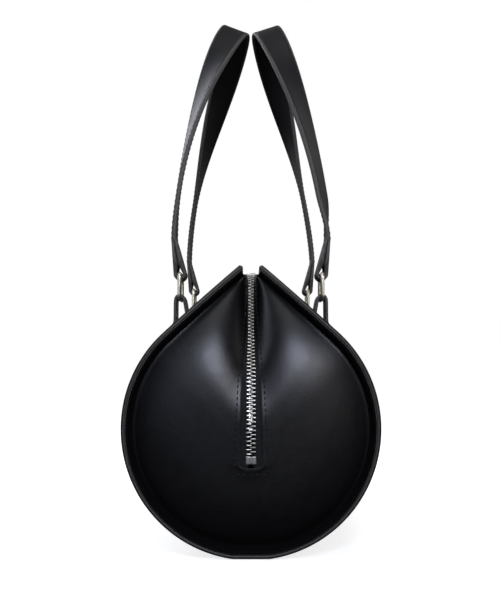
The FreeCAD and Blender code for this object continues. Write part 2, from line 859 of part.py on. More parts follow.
def main():
    """Builds every piece and writes it."""
    os.makedirs("parts", exist_ok=True)
    save("body_wrap", body_wrap())
    for end_name, end in (("front", -1), ("rear", 1)):
        save("end_panel_" + end_name, end_panel(end))
        save("zip_stop_" + end_name, zip_stop(end))
        save("slider_" + end_name, slider(end))
        save("pull_" + end_name, pull(end))
        for side_name, side in sides.items():
            save("tab_" + end_name + "_" + side_name, tab(side, tab_spots[end_name]))
            save("ring_" + end_name + "_" + side_name, ring(side, tab_spots[end_name]))
    for side_name, side in sides.items():
        save("zip_tape_" + side_name, zip_tape(side))
        save("zip_teeth_" + side_name, zip_teeth(side))
    left_shares = (left_front_twist_start_share, left_rear_twist_start_share)
    right_shares = (right_front_twist_start_share, right_rear_twist_start_share)
    save("handle_left", handle(-1, left_shares))
    save("handle_right", handle(1, right_shares))


main()
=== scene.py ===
import math

import bmesh
import bpy
import numpy as np
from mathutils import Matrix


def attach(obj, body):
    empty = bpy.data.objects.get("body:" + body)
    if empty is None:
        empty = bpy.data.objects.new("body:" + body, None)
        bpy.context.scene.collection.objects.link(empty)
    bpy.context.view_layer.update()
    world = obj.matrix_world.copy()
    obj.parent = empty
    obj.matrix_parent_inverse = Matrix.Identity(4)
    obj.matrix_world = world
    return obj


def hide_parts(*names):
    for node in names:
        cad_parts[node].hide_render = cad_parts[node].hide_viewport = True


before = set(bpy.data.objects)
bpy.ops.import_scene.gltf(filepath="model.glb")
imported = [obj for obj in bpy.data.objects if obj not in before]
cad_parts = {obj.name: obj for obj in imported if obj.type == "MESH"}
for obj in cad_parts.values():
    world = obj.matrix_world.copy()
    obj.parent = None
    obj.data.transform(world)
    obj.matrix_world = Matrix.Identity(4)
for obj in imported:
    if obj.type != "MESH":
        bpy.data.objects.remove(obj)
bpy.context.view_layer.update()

bl_info = {
    "name": "Barrel bag",
    "version": (1, 0, 0),
    "blender": (4, 5, 0),
    "location": "View3D > Sidebar > Barrel bag",
    "description": "Leather, zip, fittings and stage for a barrel bag",
    "category": "Object",
}

SIDES = {"left": -1, "right": 1}
ENDS = {"front": -1, "rear": 1}
MERGE = 1e-6  # points closer than this, in metres, are one point
TINY = 1e-12  # added to a length, so that one of zero can be divided by
NEAR = 1e-9  # added to a squared distance, so that one of zero has a weight
EDGE, THREAD, BURNISHED, FOLD = 1, 2, 3, 4  # numbers of a leather piece's materials after its leather
EDGE_POWER = 0.7  # one gives a leather edge a half round, less squares it
EDGE_STEPS = 8  # strips in the round of a leather edge
BEND_LINES = 7  # lines in the bend of an end panel's turned edge
FOLD_STRIPS = BEND_LINES + 1  # strips of an end panel that lie in its turned edge


# Sizes a user can set


def length(name, description, default):
    """A property that holds a length in metres."""
    return bpy.props.FloatProperty(
        name=name, description=description, default=default, min=0, precision=5,
        unit="LENGTH", subtype="DISTANCE")


def angle(name, description, degrees):
    """A property that holds an angle."""
    return bpy.props.FloatProperty(
        name=name, description=description, default=math.radians(degrees), unit="ROTATION", subtype="ANGLE")


def share(name, description, default):
    """A property that holds a share between 0 and 1."""
    return bpy.props.FloatProperty(
        name=name, description=description, default=default, min=0, max=1, subtype="FACTOR")


def power(name, description, default):
    """A property that holds a power of one or more."""
    return bpy.props.FloatProperty(name=name, description=description, default=default, min=1)


def colour(code):
    """Linear colour of an sRGB hex code: a straight line near black, and a power of 2.4 above it."""
    parts = [int(code[k:k + 2], 16) / 255 for k in (0, 2, 4)]
    return tuple(p / 12.92 if p <= 0.04045 else ((p + 0.055) / 1.055) ** 2.4 for p in parts)


def tint(name, description, code):
    """A property that holds a colour."""
    return bpy.props.FloatVectorProperty(
        name=name, description=description, default=colour(code), size=3, min=0, max=1, subtype="COLOR")


class BodySizes(bpy.types.PropertyGroup):
    """Sizes of the rolled body and its end panels."""
    body_length: length("Length", "Length of the barrel from rim to rim", 0.300)
    radius: length("Radius", "Outer radius of the belly", 0.078)
    wrap: length("Sheet", "Thickness of the rolled sheet", 0.0024)
    base_flat: length("Base flat", "Width of the flat that the belly settles on", 0.022)
    base_soft: length("Base softness", "Softness of the panels' bend onto that flat", 0.001)
    roof: angle("Roof slope", "Slope of the flanks under the zip", 43)
    top_gap: length("Top gap", "Gap between the flanks' upper edges", 0.015)
    shoulder_height: length("Shoulder height", "Height above the axis where the rim leans back", 0.040)
    shoulder_setback: length("Shoulder setback", "How far the rim leans back at the top", 0.030)
    panel: length("Panel", "Thickness of the end panels", 0.002)
    flange: length("Flange depth", "Depth of the groove inside the rim", 0.009)
    flange_bend: length("Flange bend", "Inner radius of the panel's turned edge", 0.002)
    bulge: length("Bulge", "How far the panel comes forward at the zip's foot", 0.009)
    crown: length("Crown", "Extra swell of the panel between rim and zip", 0.003)
    swell_fall: power("Swell fall", "Power that the swell falls with towards the zip's foot", 1.6)
    seam: length("Seam", "Clearance between sewn layers", 0.00012)


class ZipSizes(bpy.types.PropertyGroup):
    """Sizes of the zip and the slot it lies in."""
    pitch: length("Pitch", "Distance between teeth of one row", 0.00254)
    tooth_length: length("Tooth length", "Length of a tooth along the chain", 0.0011)
    tooth_height: length("Tooth height", "Height of a tooth off the tape", 0.0026)
    tooth_round: share("Tooth round", "Radius of a tooth's edges as a share of its length", 0.3)
    head_length: share("Head length", "Length of a tooth's head as a share of its root's", 0.6)
    head_height: share("Head height", "Height of a tooth's head as a share of its root's", 0.9)
    tooth_tip: share("Tooth tip", "Share of the tape's tilt that the teeth's faces take", 0.12)
    tooth_rise: share("Tooth rise", "Share of its reach that a tooth rises by where the tape tips", 0.35)
    slider_gap: length("Slider gap", "How far the sliders push the teeth aside", 0.0017)
    gap_start: length("Gap start", "Distance from the middle where that push starts to fall", 0.001)
    gap_end: length("Gap end", "Distance from the middle where that push ends", 0.0075)
    tooth_reach: length("Tooth reach", "Reach of a tooth from the chain's middle", 0.0029)
    overlap: length("Overlap", "How far a tooth reaches past the middle", 0.00055)
    tape: length("Tape", "Thickness of the tape", 0.0008)
    tape_edge: length("Tape edge", "Where the tape's corded edge lies", 0.0019)
    tape_bend: length("Tape bend", "Where the tape bends under the leather", 0.006)
    tape_hem: length("Tape hem", "Width of the tape past its bend", 0.0045)
    tape_fall: angle("Tape fall", "How far the tape falls away behind the end panels", 12)
    slot: length("Slot", "Width of the slot in the end panels", 0.0126)
    slot_foot: length("Slot foot", "Depth of the slot's foot below the axis", 0.0244)
    slot_flare: length("Slot flare", "How much the slot widens on each side towards its foot", 0.0014)
    slot_even: share("Slot even", "Share of the slot's edge that is met at even steps", 0.02)
    tail: length("Tail", "Length of the tape below the slot", 0.007)
    bend_height: length("Bend height", "Height above the axis where the zip leans back", 0.001)
    bend_radius: length("Bend radius", "Radius of that bend", 0.065)
    lean: angle("Lean", "How far the zip leans back over the end", 35)
    crest_radius: length("Crest radius", "Radius of the bend onto the ridge", 0.025)
    valley: angle("Valley", "How far the zip's halves tip together at the top", 45)
    valley_start: length("Valley start", "Height above the axis where they start to tip", 0.014)
    valley_full: length("Valley full", "Height above the axis where they are fully tipped", 0.066)
    stop_width: length("Stop width", "Width of the stop", 0.0066)
    stop_length: length("Stop length", "Length of the stop", 0.0052)
    stop_height: length("Stop height", "Height of the stop", 0.0032)
    stop_round: length("Stop round", "Radius of the edges of the stop's columns", 0.0006)
    column_width: share("Column width", "Width of a stop's column as a share of the stop's", 0.44)
    column_place: share("Column place", "Distance of a column from the middle as a share of that width", 0.27)
    bar_share: share("Bar share", "Width and length of the stop's bar as a share of the stop's", 0.9)
    bar_height: share("Bar height", "Height of the stop's bar as a share of the stop's", 0.7)
    bar_round: length("Bar round", "Radius of the edges of the stop's bar", 0.0005)
    stop_foot: length("Stop foot", "Depth of the stop's foot below the axis", 0.0216)


class FittingSizes(bpy.types.PropertyGroup):
    """Sizes of tabs, rings and handles."""
    spacing: length("Tab spacing", "Distance between a side's two tabs", 0.164)
    offset: length("Tab offset", "Distance of the rings from the middle", 0.047003)
    rise: length("Tab rise", "Height of the ring's lower bar over the flank", 0.018)
    layer: length("Tab layer", "Thickness of one layer of a tab", 0.002)
    inner_foot: length("Inner foot", "Where the loop's inner leg meets the flank", 0.005)
    outer_foot: length("Outer foot", "Where the loop's outer leg meets the flank", 0.003)
    tab_end: angle("Tab end", "Where the tab ends on the belly, from the top", 76)
    wire: length("Wire", "Thickness of the ring's wire", 0.003)
    ring_wire: length("Ring wire", "Thickness of the wire as it shows, a little under its room", 0.0026)
    ring_height: length("Ring height", "Inner height of a ring", 0.0135)
    ring_side: length("Ring side", "Clearance beside the strap in a ring", 0.0015)
    ring_corner: length("Ring corner", "Radius of a ring's corners", 0.0025)
    clearance: length("Loop clearance", "Clearance of a loop round the wire", 0.0004)
    strap: length("Strap width", "Width of the straps", 0.021)
    thickness: length("Strap thickness", "Thickness of the straps", 0.0032)
    groove: length("Groove", "Width of the groove along a strap's stitches", 0.0006)
    groove_depth: length("Groove depth", "Depth of that groove", 0.00018)
    strap_layer: length("Strap layer", "Thickness of one layer of a strap's folded end", 0.0022)
    eye_height: length("Eye height", "Height over the wire where a fold's layers meet", 0.006)
    loop_height: length("Loop height", "Height of the strap's folded end", 0.024)
    loop_lean: angle("Loop lean", "How far the strap's folded end leans outwards", 10)
    height: length("Handle height", "Height of a handle over its rings", 0.191)
    left_bow: power("Left bow", "Power of the rise that the left handle leans in with", 1.7)
    right_bow: power("Right bow", "Power of the rise that the right handle leans in with", 1.45)
    gap: length("Handle gap", "Gap between the two handles at the top", 0.0006)
    left_front_twist: share("Left front twist", "Rise where its front leg starts to turn", 0.06)
    left_rear_twist: share("Left rear twist", "Rise where its rear leg starts to turn", 0.28)
    right_front_twist: share("Right front twist", "Rise where its front leg starts to turn", 0.0)
    right_rear_twist: share("Right rear twist", "Rise where its rear leg starts to turn", 0.32)
    left_set: share("Left set", "Share of its turn that the left strap's front leg takes early", 0.04)
    right_set: share("Right set", "Share of its turn that the right strap's front leg takes early", 0.18)
    set_rise: share("Set rise", "Share of the rise by which a front leg has taken its early turn", 0.18)
    front_power: power("Front power", "Power of the rise that a front leg turns with", 2.3)
    rear_power: power("Rear power", "Power of the rise that a rear leg turns with", 1.5)


class LookSizes(bpy.types.PropertyGroup):
    """Stitching and surface detail."""
    stitch: length("Stitch", "Length of a stitch", 0.0026)
    stitch_step: length("Stitch step", "Distance between stitches", 0.0036)
    thread: length("Thread", "Thickness of the thread", 0.0007)
    panel_thread: length("Panel thread", "Thickness of the thread round the slot", 0.0011)
    strap_proud: length("Strap proud", "Height of the straps' stitches over the leather", 0.0002)
    rim_stitch: length("Rim stitch", "Distance of the rim's stitches from its edge", 0.0035)
    slot_stitch: length("Slot stitch", "Distance of the slot's stitches from its edge", 0.0025)
    strap_stitch: length("Strap stitch", "Distance of the strap's stitches from its edge", 0.0022)
    box_half: length("Box half", "Half the width of the stitch box at the slot's foot", 0.0103)
    box_top: length("Box top", "Depth below the axis where the stitch box starts", 0.018)
    box_foot: length("Box foot", "Depth below the axis of the stitch box's foot", 0.0274)
    box_narrow: share("Box narrow", "Width of the stitch box's top as a share of its foot's", 0.94)
    grain: length("Grain", "Spacing of the leather's pores", 0.0007)
    coat: length("Coat", "Size of the lumps in the edge paint", 0.0014)
    ripple: length("Ripple", "Size of the leather's soft unevenness", 0.006)
    hide: length("Hide", "Size of the patches where the leather's shine changes", 0.028)
    weave: length("Weave", "Spacing of the tape's ribs", 0.0006)
    yarn: length("Yarn", "Size of the patches where the tape takes its dye differently", 0.0024)
    strand: length("Strand", "Width of a thread's strands", 0.0005)
    rub: length("Rub", "Size of the patches where metal is rubbed", 0.0015)
    scratch: length("Scratch", "Width of the scratches in metal", 0.0002)
    scratch_stretch: bpy.props.FloatVectorProperty(
        name="Scratch stretch", description="How much longer than wide the wire's scratches are",
        default=(1, 8, 1), size=3, min=1, subtype="XYZ")
    leather_colour: tint("Leather", "Colour of the leather", "09090a")
    # Paler than the body's black: partly the straps' own duller leather, partly painted light that lifts
    # their unlit faces
    strap_colour_and_fill: tint("Strap leather", "Colour of the straps' leather", "1c1c1e")
    edge_colour: tint("Edge paint", "Colour of the body's painted edges", "44423e")
    # Paler than the body's edge paint: real paint, lifted with painted light so that the edge-on legs read
    # bright
    strap_edge_colour_and_lift: tint("Strap edge paint", "Colour of the straps' painted edges", "4c4a46")
    thread_colour: tint("Thread colour", "Colour of the thread", "0e0e0f")
    tape_colour: tint("Tape", "Colour of the woven tape", "101115")
    zip_colour: tint("Zip metal", "Colour of the zip's metal", "cfcdc4")
    stop_colour: tint("Stop metal", "Colour of the zip's stops", "a3a29b")
    ring_colour: tint("Ring metal", "Colour of the rings' metal", "f0ead4")


class StageSizes(bpy.types.PropertyGroup):
    """Camera, floor and light."""
    distance: length("Distance", "Distance of the camera from the middle", 0.750)
    height: length("Height", "Height of the camera", 0.1205)
    lens: bpy.props.FloatProperty(name="Lens", description="Focal length", default=59.8, unit="CAMERA")
    aside: bpy.props.FloatProperty(
        name="Aside", description="How far the camera stands to the right", default=-0.0006, unit="LENGTH")
    pitch: angle("Pitch", "How far the camera looks up", 3.14)
    floor: length("Floor", "Half the size of the floor", 3.0)
    floor_drop: length("Floor drop", "How far the floor lies under the bag", 0.0006)
    floor_lit: share("Floor lit", "How pale the floor is to the bag", 0.05)
    floor_seen: share("Floor seen", "How pale the floor is to the camera", 0.7)
    shade_reach: length("Shade reach", "Distance from the bag's middle where the floor's glow grows", 0.2)
    glow_reach: length("Glow reach", "Distance from the bag's middle where the floor's glow is full", 0.6)
    shade_glow: share("Shade glow", "Glow of the floor under the bag", 0.78)
    room_fill: share("Room fill", "Strength of the room's light on the bag", 0.02)
    back_fill: share("Back fill", "Strength of the room's light from behind the bag", 0.2)
    target: bpy.props.FloatVectorProperty(
        name="Target", description="Point that the lights are turned to", default=(0, -0.15, 0.1), size=3,
        unit="LENGTH", subtype="TRANSLATION")
    backdrop_colour: tint("Backdrop", "Colour of the backdrop and the floor", "ffffff")


class BagSizes(bpy.types.PropertyGroup):
    """All sizes of the bag and its stage."""
    body: bpy.props.PointerProperty(type=BodySizes)
    zip: bpy.props.PointerProperty(type=ZipSizes)
    fittings: bpy.props.PointerProperty(type=FittingSizes)
    looks: bpy.props.PointerProperty(type=LookSizes)
    stage: bpy.props.PointerProperty(type=StageSizes)


class Form:
    """Lengths that follow from the sizes."""

    def __init__(self, sizes):
        b, z, t = sizes.body, sizes.zip, sizes.fittings
        self.body, self.zip, self.fit, self.looks = b, z, t, sizes.looks
        self.axis = math.sqrt(b.radius ** 2 - (b.base_flat / 2) ** 2)
        self.half = b.body_length / 2
        self.top = self.flank(b.top_gap / 2, 0)
        rise = self.top - b.shoulder_height
        self.shoulder = (rise ** 2 + b.shoulder_setback ** 2) / (2 * b.shoulder_setback)
        self.tape_front = z.tape / 2 + b.seam
        self.zip_setback = b.flange - b.bulge + self.tape_front
        self.ridge = self.flank(z.tape_bend, b.wrap) - self.tape_front / math.cos(b.roof)
        self.foot = -z.slot_foot - z.tail
        self.climb = z.bend_height - self.foot
        self.bend_length = z.bend_radius * z.lean
        bend_top = z.bend_height + z.bend_radius * math.sin(z.lean)
        crest_low = self.ridge - z.crest_radius * (1 - math.sin(z.lean))
        self.slant = (crest_low - bend_top) / math.cos(z.lean)
        self.crest = z.crest_radius * (math.pi / 2 - z.lean)
        self.crest_start = self.climb + self.bend_length + self.slant
        self.ridge_start = self.crest_start + self.crest
        ridge_setback = zip_path(self, np.array([self.ridge_start]))[0][0]
        self.zip_half = self.ridge_start + self.half - ridge_setback
        self.bar = self.axis + self.flank(t.offset, 0) + t.rise
        self.pitch = t.ring_height + t.wire
        self.eye = t.wire / 2 + t.clearance
        self.loop_rise = t.loop_height * math.cos(t.loop_lean)
        self.arch = t.height - self.loop_rise
        self.arch_foot = t.offset + t.loop_height * math.sin(t.loop_lean)

    def strap_lean(self, bow):
        """How far a strap leans in, and how far its top tips, so that the straps all but meet.

        The lean is the foot's distance from the middle less half the tipped strap and half the gap. The tip
        is the slope of the leaning line at the top. Each depends on the other, so they are found in rounds.
        """
        t = self.fit
        rounds = 40
        lean_in = self.arch_foot
        for _ in range(rounds):
            tip = math.atan2(bow * lean_in, self.arch)
            edge = t.strap / 2 * math.cos(tip) + t.thickness / 2 * math.sin(tip)
            lean_in = self.arch_foot - edge - t.gap / 2
        return lean_in, tip

    def flank(self, offset, inset):
        """Height above the axis of a flank's surface: a straight line touching the belly's circle."""
        b = self.body
        return (b.radius - inset) / math.cos(b.roof) - offset * math.tan(b.roof)

    def rim_setback(self, height):
        """How far the rim leans back at a height above the axis: zero, then an arc of a circle."""
        climb = np.clip(height - self.body.shoulder_height, 0, self.top - self.body.shoulder_height)
        return self.shoulder - np.sqrt(self.shoulder ** 2 - climb ** 2)


# Arrays and meshes


def smooth(value, start, end):
    """A share that eases from 0 at the start to 1 at the end: three times its square less twice its cube."""
    part = np.clip((value - start) / (end - start), 0, 1)
    return part * part * (3 - 2 * part)


def unit(vectors):
    """The same directions with length one."""
    return vectors / np.maximum(np.linalg.norm(vectors, axis=-1, keepdims=True), TINY)


def stack(x, y, z):
    """Points from three arrays of coordinates."""
    return np.stack(np.broadcast_arrays(x, y, z), axis=-1).astype(float)


def mixed(first, second, part):
    """Points a share of the way from the first to the second."""
    return first + (second - first) * part


def circle(turns):
    """Points of a circle with radius one: the cosine and the sine of each turn."""
    return np.stack([np.cos(turns), np.sin(turns)], axis=-1)


def between(places, known, values):
    """Rows of values at places between the known ones, in straight lines."""
    return np.stack([np.interp(places, known, column) for column in values.T], axis=1)


def travelled(points):
    """The distance covered at each point of a row of points."""
    gaps = np.linalg.norm(np.diff(points, axis=0), axis=1)
    return np.concatenate([[0], np.cumsum(gaps)])


def evenly(points, step):
    """Points, and their places in the row, at even distances along a row of points."""
    travel = travelled(points)
    count = max(int(travel[-1] / step), 1)
    spots = np.linspace(0, travel[-1], count + 1)
    return between(spots, travel, points), np.interp(spots, travel, np.arange(len(points)))


def grid_faces(rows, columns, closed_rows=False, closed_columns=False):
    """Four-sided faces of a grid of points numbered row by row, joined at its ends where it is closed."""
    i = np.arange(rows if closed_rows else rows - 1)[:, None]
    j = np.arange(columns if closed_columns else columns - 1)[None, :]
    i2, j2 = (i + 1) % rows, (j + 1) % columns
    corners = [i * columns + j, i2 * columns + j, i2 * columns + j2, i * columns + j2]
    return np.stack(np.broadcast_arrays(*corners), axis=-1).reshape(-1, 4)


def repeated(faces, copies, size):
    """The faces of a shape with so many points, for each of its copies in a row."""
    return (faces[None] + (np.arange(copies) * size)[:, None, None]).reshape(-1, 4)


class Mesh:
    """Points and faces gathered for one object, with a material number for each face."""

    def __init__(self):
        self.points, self.faces, self.kinds, self.count = [], [], [], 0

    def add(self, points, faces, kind=0):
        """Adds points and the faces between them, all of one kind or each of its own."""
        points = np.asarray(points, float).reshape(-1, 3)
        self.points.append(points)
        self.faces.append(np.asarray(faces) + self.count)
        self.kinds.append(np.broadcast_to(np.ravel(kind), (len(faces),)))
        self.count += len(points)
        return self

    def build(self, name, materials):
        """Makes the object, with smooth faces that point outwards and seams that are closed."""
        points = np.concatenate(self.points)
        faces = np.concatenate(self.faces)
        mesh = bpy.data.meshes.new(name)
        mesh.vertices.add(len(points))
        mesh.vertices.foreach_set("co", points.ravel())
        mesh.loops.add(faces.size)
        mesh.loops.foreach_set("vertex_index", faces.ravel().astype(np.int32))
        mesh.polygons.add(len(faces))
        mesh.polygons.foreach_set("loop_start", np.arange(0, faces.size, 4, dtype=np.int32))
        mesh.polygons.foreach_set("loop_total", np.full(len(faces), 4, dtype=np.int32))
        mesh.polygons.foreach_set("use_smooth", np.ones(len(faces), dtype=bool))
        mesh.polygons.foreach_set("material_index", np.concatenate(self.kinds).astype(np.int32))
        mesh.update(calc_edges=True)
        merged = bmesh.new()
        merged.from_mesh(mesh)
        bmesh.ops.remove_doubles(merged, verts=merged.verts, dist=MERGE)
        merged.to_mesh(mesh)
        merged.free()
        for material in materials:
            mesh.materials.append(material)
        obj = bpy.data.objects.new(name, mesh)
        bpy.context.scene.collection.objects.link(obj)
        return obj


def border(rows, columns):
    """The numbers of a grid's outer points, once round."""
    numbers = np.arange(rows * columns).reshape(rows, columns)
    return np.concatenate([numbers[0, :-1], numbers[:-1, -1], numbers[-1, :0:-1], numbers[:0:-1, 0]])


def squared(value, exponent):
    """A power of a number's size that keeps its sign."""
    return np.sign(value) * np.abs(value) ** exponent


def add_sheet(mesh, front, back, kind=0, edge_kind=EDGE, edge_steps=EDGE_STEPS):
    """A sheet between two grids: both faces, and a squared round edge swept from one border to the other.

    The edge runs through middle + out times sine + half the thickness times cosine, from 0 to half a turn,
    with sine and cosine raised to a power under one, which squares the round.
    """
    rows, columns = front.shape[:2]
    faces = grid_faces(rows, columns)
    flat_front, flat_back = front.reshape(-1, 3), back.reshape(-1, 3)
    side = np.cross(front[1:, :-1] - front[:-1, :-1], front[:-1, 1:] - front[:-1, :-1])
    outward = np.sum(side * (front - back)[:-1, :-1]) > 0
    loop = border(rows, columns)
    middle = (flat_front + flat_back)[loop] / 2
    half = (flat_front - flat_back)[loop] / 2
    ahead = np.roll(middle, -1, axis=0) - np.roll(middle, 1, axis=0)
    out = unit(np.cross(ahead, half))
    row_of, column_of = loop // columns, loop % columns
    inside = flat_front[np.clip(row_of, 1, rows - 2) * columns + np.clip(column_of, 1, columns - 2)]
    flip = np.sign(np.sum(out * (flat_front[loop] - inside), axis=1))
    flip[flip == 0] = 1
    out = out * np.median(flip)
    turns = np.linspace(0, math.pi, edge_steps + 1)[1:-1]
    reach = np.linalg.norm(half, axis=1, keepdims=True)
    rings = [flat_front[loop]]
    for rise, run in squared(circle(turns), EDGE_POWER):
        rings.append(middle + half * rise + out * reach * run)
    rings.append(flat_back[loop])
    strip = grid_faces(len(rings), len(loop), closed_columns=True)
    facing = np.sum(np.cross(rings[1] - rings[0], ahead) * out) > 0
    edge_kind = np.broadcast_to(edge_kind, (len(rings) - 1, len(loop)))
    mesh.add(flat_front, faces if outward else faces[:, ::-1], kind)
    mesh.add(flat_back, faces[:, ::-1] if outward else faces, kind)
    mesh.add(np.concatenate(rings), strip if facing else strip[:, ::-1], edge_kind)


def add_stitches(mesh, points, outs, looks, thread, proud):
    """Stitches along a row of points: each a small spindle that stands a given height proud.

    A spindle's radius follows the square root of a sine from end to end, and its tips are cut off flat.
    """
    rings, sides, cut = 6, 6, 0.04
    spots, place = evenly(points, looks.stitch_step)
    ahead = unit(np.gradient(spots, axis=0))
    out = unit(between(place, np.arange(len(points)), outs))
    aside = unit(np.cross(ahead, out))
    part = np.linspace(cut, 1 - cut, rings)
    radius = thread / 2 * np.sqrt(np.sin(part * math.pi))
    ring = circle(np.linspace(0, 2 * math.pi, sides, endpoint=False)) * radius[:, None, None]
    lift, shift = ring[..., :1] + proud - thread / 2, ring[..., 1:]
    middle = spots[:, None] + ((part - 0.5) * looks.stitch)[:, None] * ahead[:, None]
    spindles = middle[:, :, None] + lift * out[:, None, None] + shift * aside[:, None, None]
    caps = np.array([[0, 1, 2, 3], [0, 3, 4, 5]])  # a flat tip of six points as two faces
    pattern = [grid_faces(rings, sides, closed_columns=True), caps, caps[:, ::-1] + (rings - 1) * sides]
    mesh.add(spindles, repeated(np.concatenate(pattern)[:, ::-1], len(spots), rings * sides), THREAD)


# Materials


def add_node(owner, kind, links=None, **values):
    """Adds a shader node to a material or world, sets its values by name and links its inputs."""
    node = owner.node_tree.nodes.new("ShaderNode" + kind)
    names = {name.lower(): name for name in node.inputs.keys()}
    for key, value in values.items():
        socket = names.get(key.replace("_", " ").lower())
        if socket:
            node.inputs[socket].default_value = value
        else:
            setattr(node, key, value)
    for key, source in (links or {}).items():
        owner.node_tree.links.new(source, node.inputs[key])
    return node


def new_material(name, base):
    """A material with no nodes yet."""
    material = bpy.data.materials.new(name)
    material.use_nodes = True
    material.node_tree.nodes.clear()
    material.diffuse_color = (*base, 1)
    return material


def finish_material(material, base, links, **values):
    """Ends a material with its surface shader and its output."""
    shader = add_node(material, "BsdfPrincipled", links, **values)
    if "Base Color" not in links:
        shader.inputs["Base Color"].default_value = (*base, 1)
    add_node(material, "OutputMaterial", {"Surface": shader.outputs["BSDF"]})
    return material


def object_points(material, step, stretch=(1, 1, 1)):
    """Object coordinates counted in steps of a real length, drawn out along an axis by a stretch."""
    spot = add_node(material, "TexCoord")
    scale = [1 / (step * part) for part in stretch]
    return add_node(material, "Mapping", {"Vector": spot.outputs["Object"]}, Scale=scale).outputs[0]


def leather_material(looks, name, base, smoothest, roughest, ior=1.5):
    """Black calf leather, dyed through and polished by hand.

    The eye sees near black with soft wide highlights. Shine and tone drift over a hide, the skin is never
    quite flat, and close up it has pores. Real pores lie about 0.3 mm apart; these are coarser, so that they
    show.
    """
    material = new_material(name, base)
    pores = add_node(
        material, "TexVoronoi", {"Vector": object_points(material, looks.grain)}, feature="SMOOTH_F1")
    hide = add_node(material, "TexNoise", {"Vector": object_points(material, looks.hide)}, Detail=3.0)
    ripple = add_node(material, "TexNoise", {"Vector": object_points(material, looks.ripple)}, Detail=2.0)
    shine = add_node(
        material, "MapRange", {"Value": hide.outputs["Fac"]}, To_Min=smoothest, To_Max=roughest)
    tone = add_node(material, "MapRange", {"Value": ripple.outputs["Fac"]}, To_Min=0.75, To_Max=1.25)
    dye = add_node(material, "HueSaturation", {"Value": tone.outputs[0]}, Color=(*base, 1))
    swell = add_node(material, "Bump", {"Height": ripple.outputs["Fac"]}, Strength=0.10, Distance=0.0004)
    relief = add_node(
        material, "Bump", {"Height": pores.outputs["Distance"], "Normal": swell.outputs[0]},
        Strength=0.07, Distance=0.0001)
    links = {"Base Color": dye.outputs[0], "Roughness": shine.outputs[0], "Normal": relief.outputs[0]}
    return finish_material(material, base, links, IOR=ior)


def edge_material(looks, name, base):
    """Cut leather edges, painted in coats and rubbed.

    The eye sees them a little paler and lumpier than the leather, and worn in places.
    """
    material = new_material(name, base)
    coat = add_node(material, "TexNoise", {"Vector": object_points(material, looks.coat)}, Detail=2.0)
    worn = add_node(material, "TexNoise", {"Vector": object_points(material, looks.ripple)}, Detail=3.0)
    shine = add_node(material, "MapRange", {"Value": worn.outputs["Fac"]}, To_Min=0.46, To_Max=0.62)
    tone = add_node(material, "MapRange", {"Value": worn.outputs["Fac"]}, To_Min=0.7, To_Max=1.3)
    paint = add_node(material, "HueSaturation", {"Value": tone.outputs[0]}, Color=(*base, 1))
    relief = add_node(material, "Bump", {"Height": coat.outputs["Fac"]}, Strength=0.15, Distance=0.0001)
    links = {"Base Color": paint.outputs[0], "Roughness": shine.outputs[0], "Normal": relief.outputs[0]}
    return finish_material(material, base, links)


def thread_material(looks, name, smoothest, roughest):
    """Polyester thread, twisted: slanting strands, with a soft shine where wax lies thick and none without.

    A real strand is about 0.25 mm wide; these are drawn twice as wide, so that they show.
    """
    material = new_material(name, looks.thread_colour)
    strands = add_node(
        material, "TexWave", {"Vector": object_points(material, looks.strand)}, Scale=1.0,
        bands_direction="DIAGONAL")
    wax = add_node(material, "TexNoise", {"Vector": object_points(material, looks.stitch)}, Detail=2.0)
    shine = add_node(material, "MapRange", {"Value": wax.outputs["Fac"]}, To_Min=smoothest, To_Max=roughest)
    relief = add_node(material, "Bump", {"Height": strands.outputs["Fac"]}, Strength=0.4, Distance=0.0001)
    links = {"Roughness": shine.outputs[0], "Normal": relief.outputs[0]}
    return finish_material(material, looks.thread_colour, links)


def tape_material(looks):
    """Polyester tape, woven: matt, with fine ribs across and yarns that take the dye a little differently."""
    material = new_material("woven_polyester_tape", looks.tape_colour)
    ribs = add_node(
        material, "TexWave", {"Vector": object_points(material, looks.weave)}, Scale=1.0, Distortion=0.6,
        bands_direction="Z")
    yarn = add_node(material, "TexNoise", {"Vector": object_points(material, looks.yarn)}, Detail=2.0)
    tone = add_node(material, "MapRange", {"Value": yarn.outputs["Fac"]}, To_Min=0.7, To_Max=1.3)
    dye = add_node(material, "HueSaturation", {"Value": tone.outputs[0]}, Color=(*looks.tape_colour, 1))
    relief = add_node(material, "Bump", {"Height": ribs.outputs["Fac"]}, Strength=0.5, Distance=0.0001)
    links = {"Base Color": dye.outputs[0], "Normal": relief.outputs[0]}
    return finish_material(material, looks.tape_colour, links, Roughness=0.8)


def metal_material(looks, name, base, smoothest, roughest, stretch=(1, 1, 1)):
    """Plated metal: bright, with a shine that is uneven where hands and leather rub it, and fine scratches.

    Real scratches are about 0.05 mm wide; these are coarser, so that they show.
    """
    material = new_material(name, base)
    rubbed = add_node(material, "TexNoise", {"Vector": object_points(material, looks.rub)}, Detail=3.0)
    scratches = add_node(
        material, "TexNoise", {"Vector": object_points(material, looks.scratch, stretch)}, Detail=2.0)
    shine = add_node(
        material, "MapRange", {"Value": rubbed.outputs["Fac"]}, To_Min=smoothest, To_Max=roughest)
    tone = add_node(material, "MapRange", {"Value": scratches.outputs["Fac"]}, To_Min=0.9, To_Max=1.1)
    plate = add_node(material, "HueSaturation", {"Value": tone.outputs[0]}, Color=(*base, 1))
    relief = add_node(
        material, "Bump", {"Height": scratches.outputs["Fac"]}, Strength=0.06, Distance=0.00005)
    links = {"Base Color": plate.outputs[0], "Roughness": shine.outputs[0], "Normal": relief.outputs[0]}
    return finish_material(material, base, links, Metallic=1.0)


MATERIALS = {}


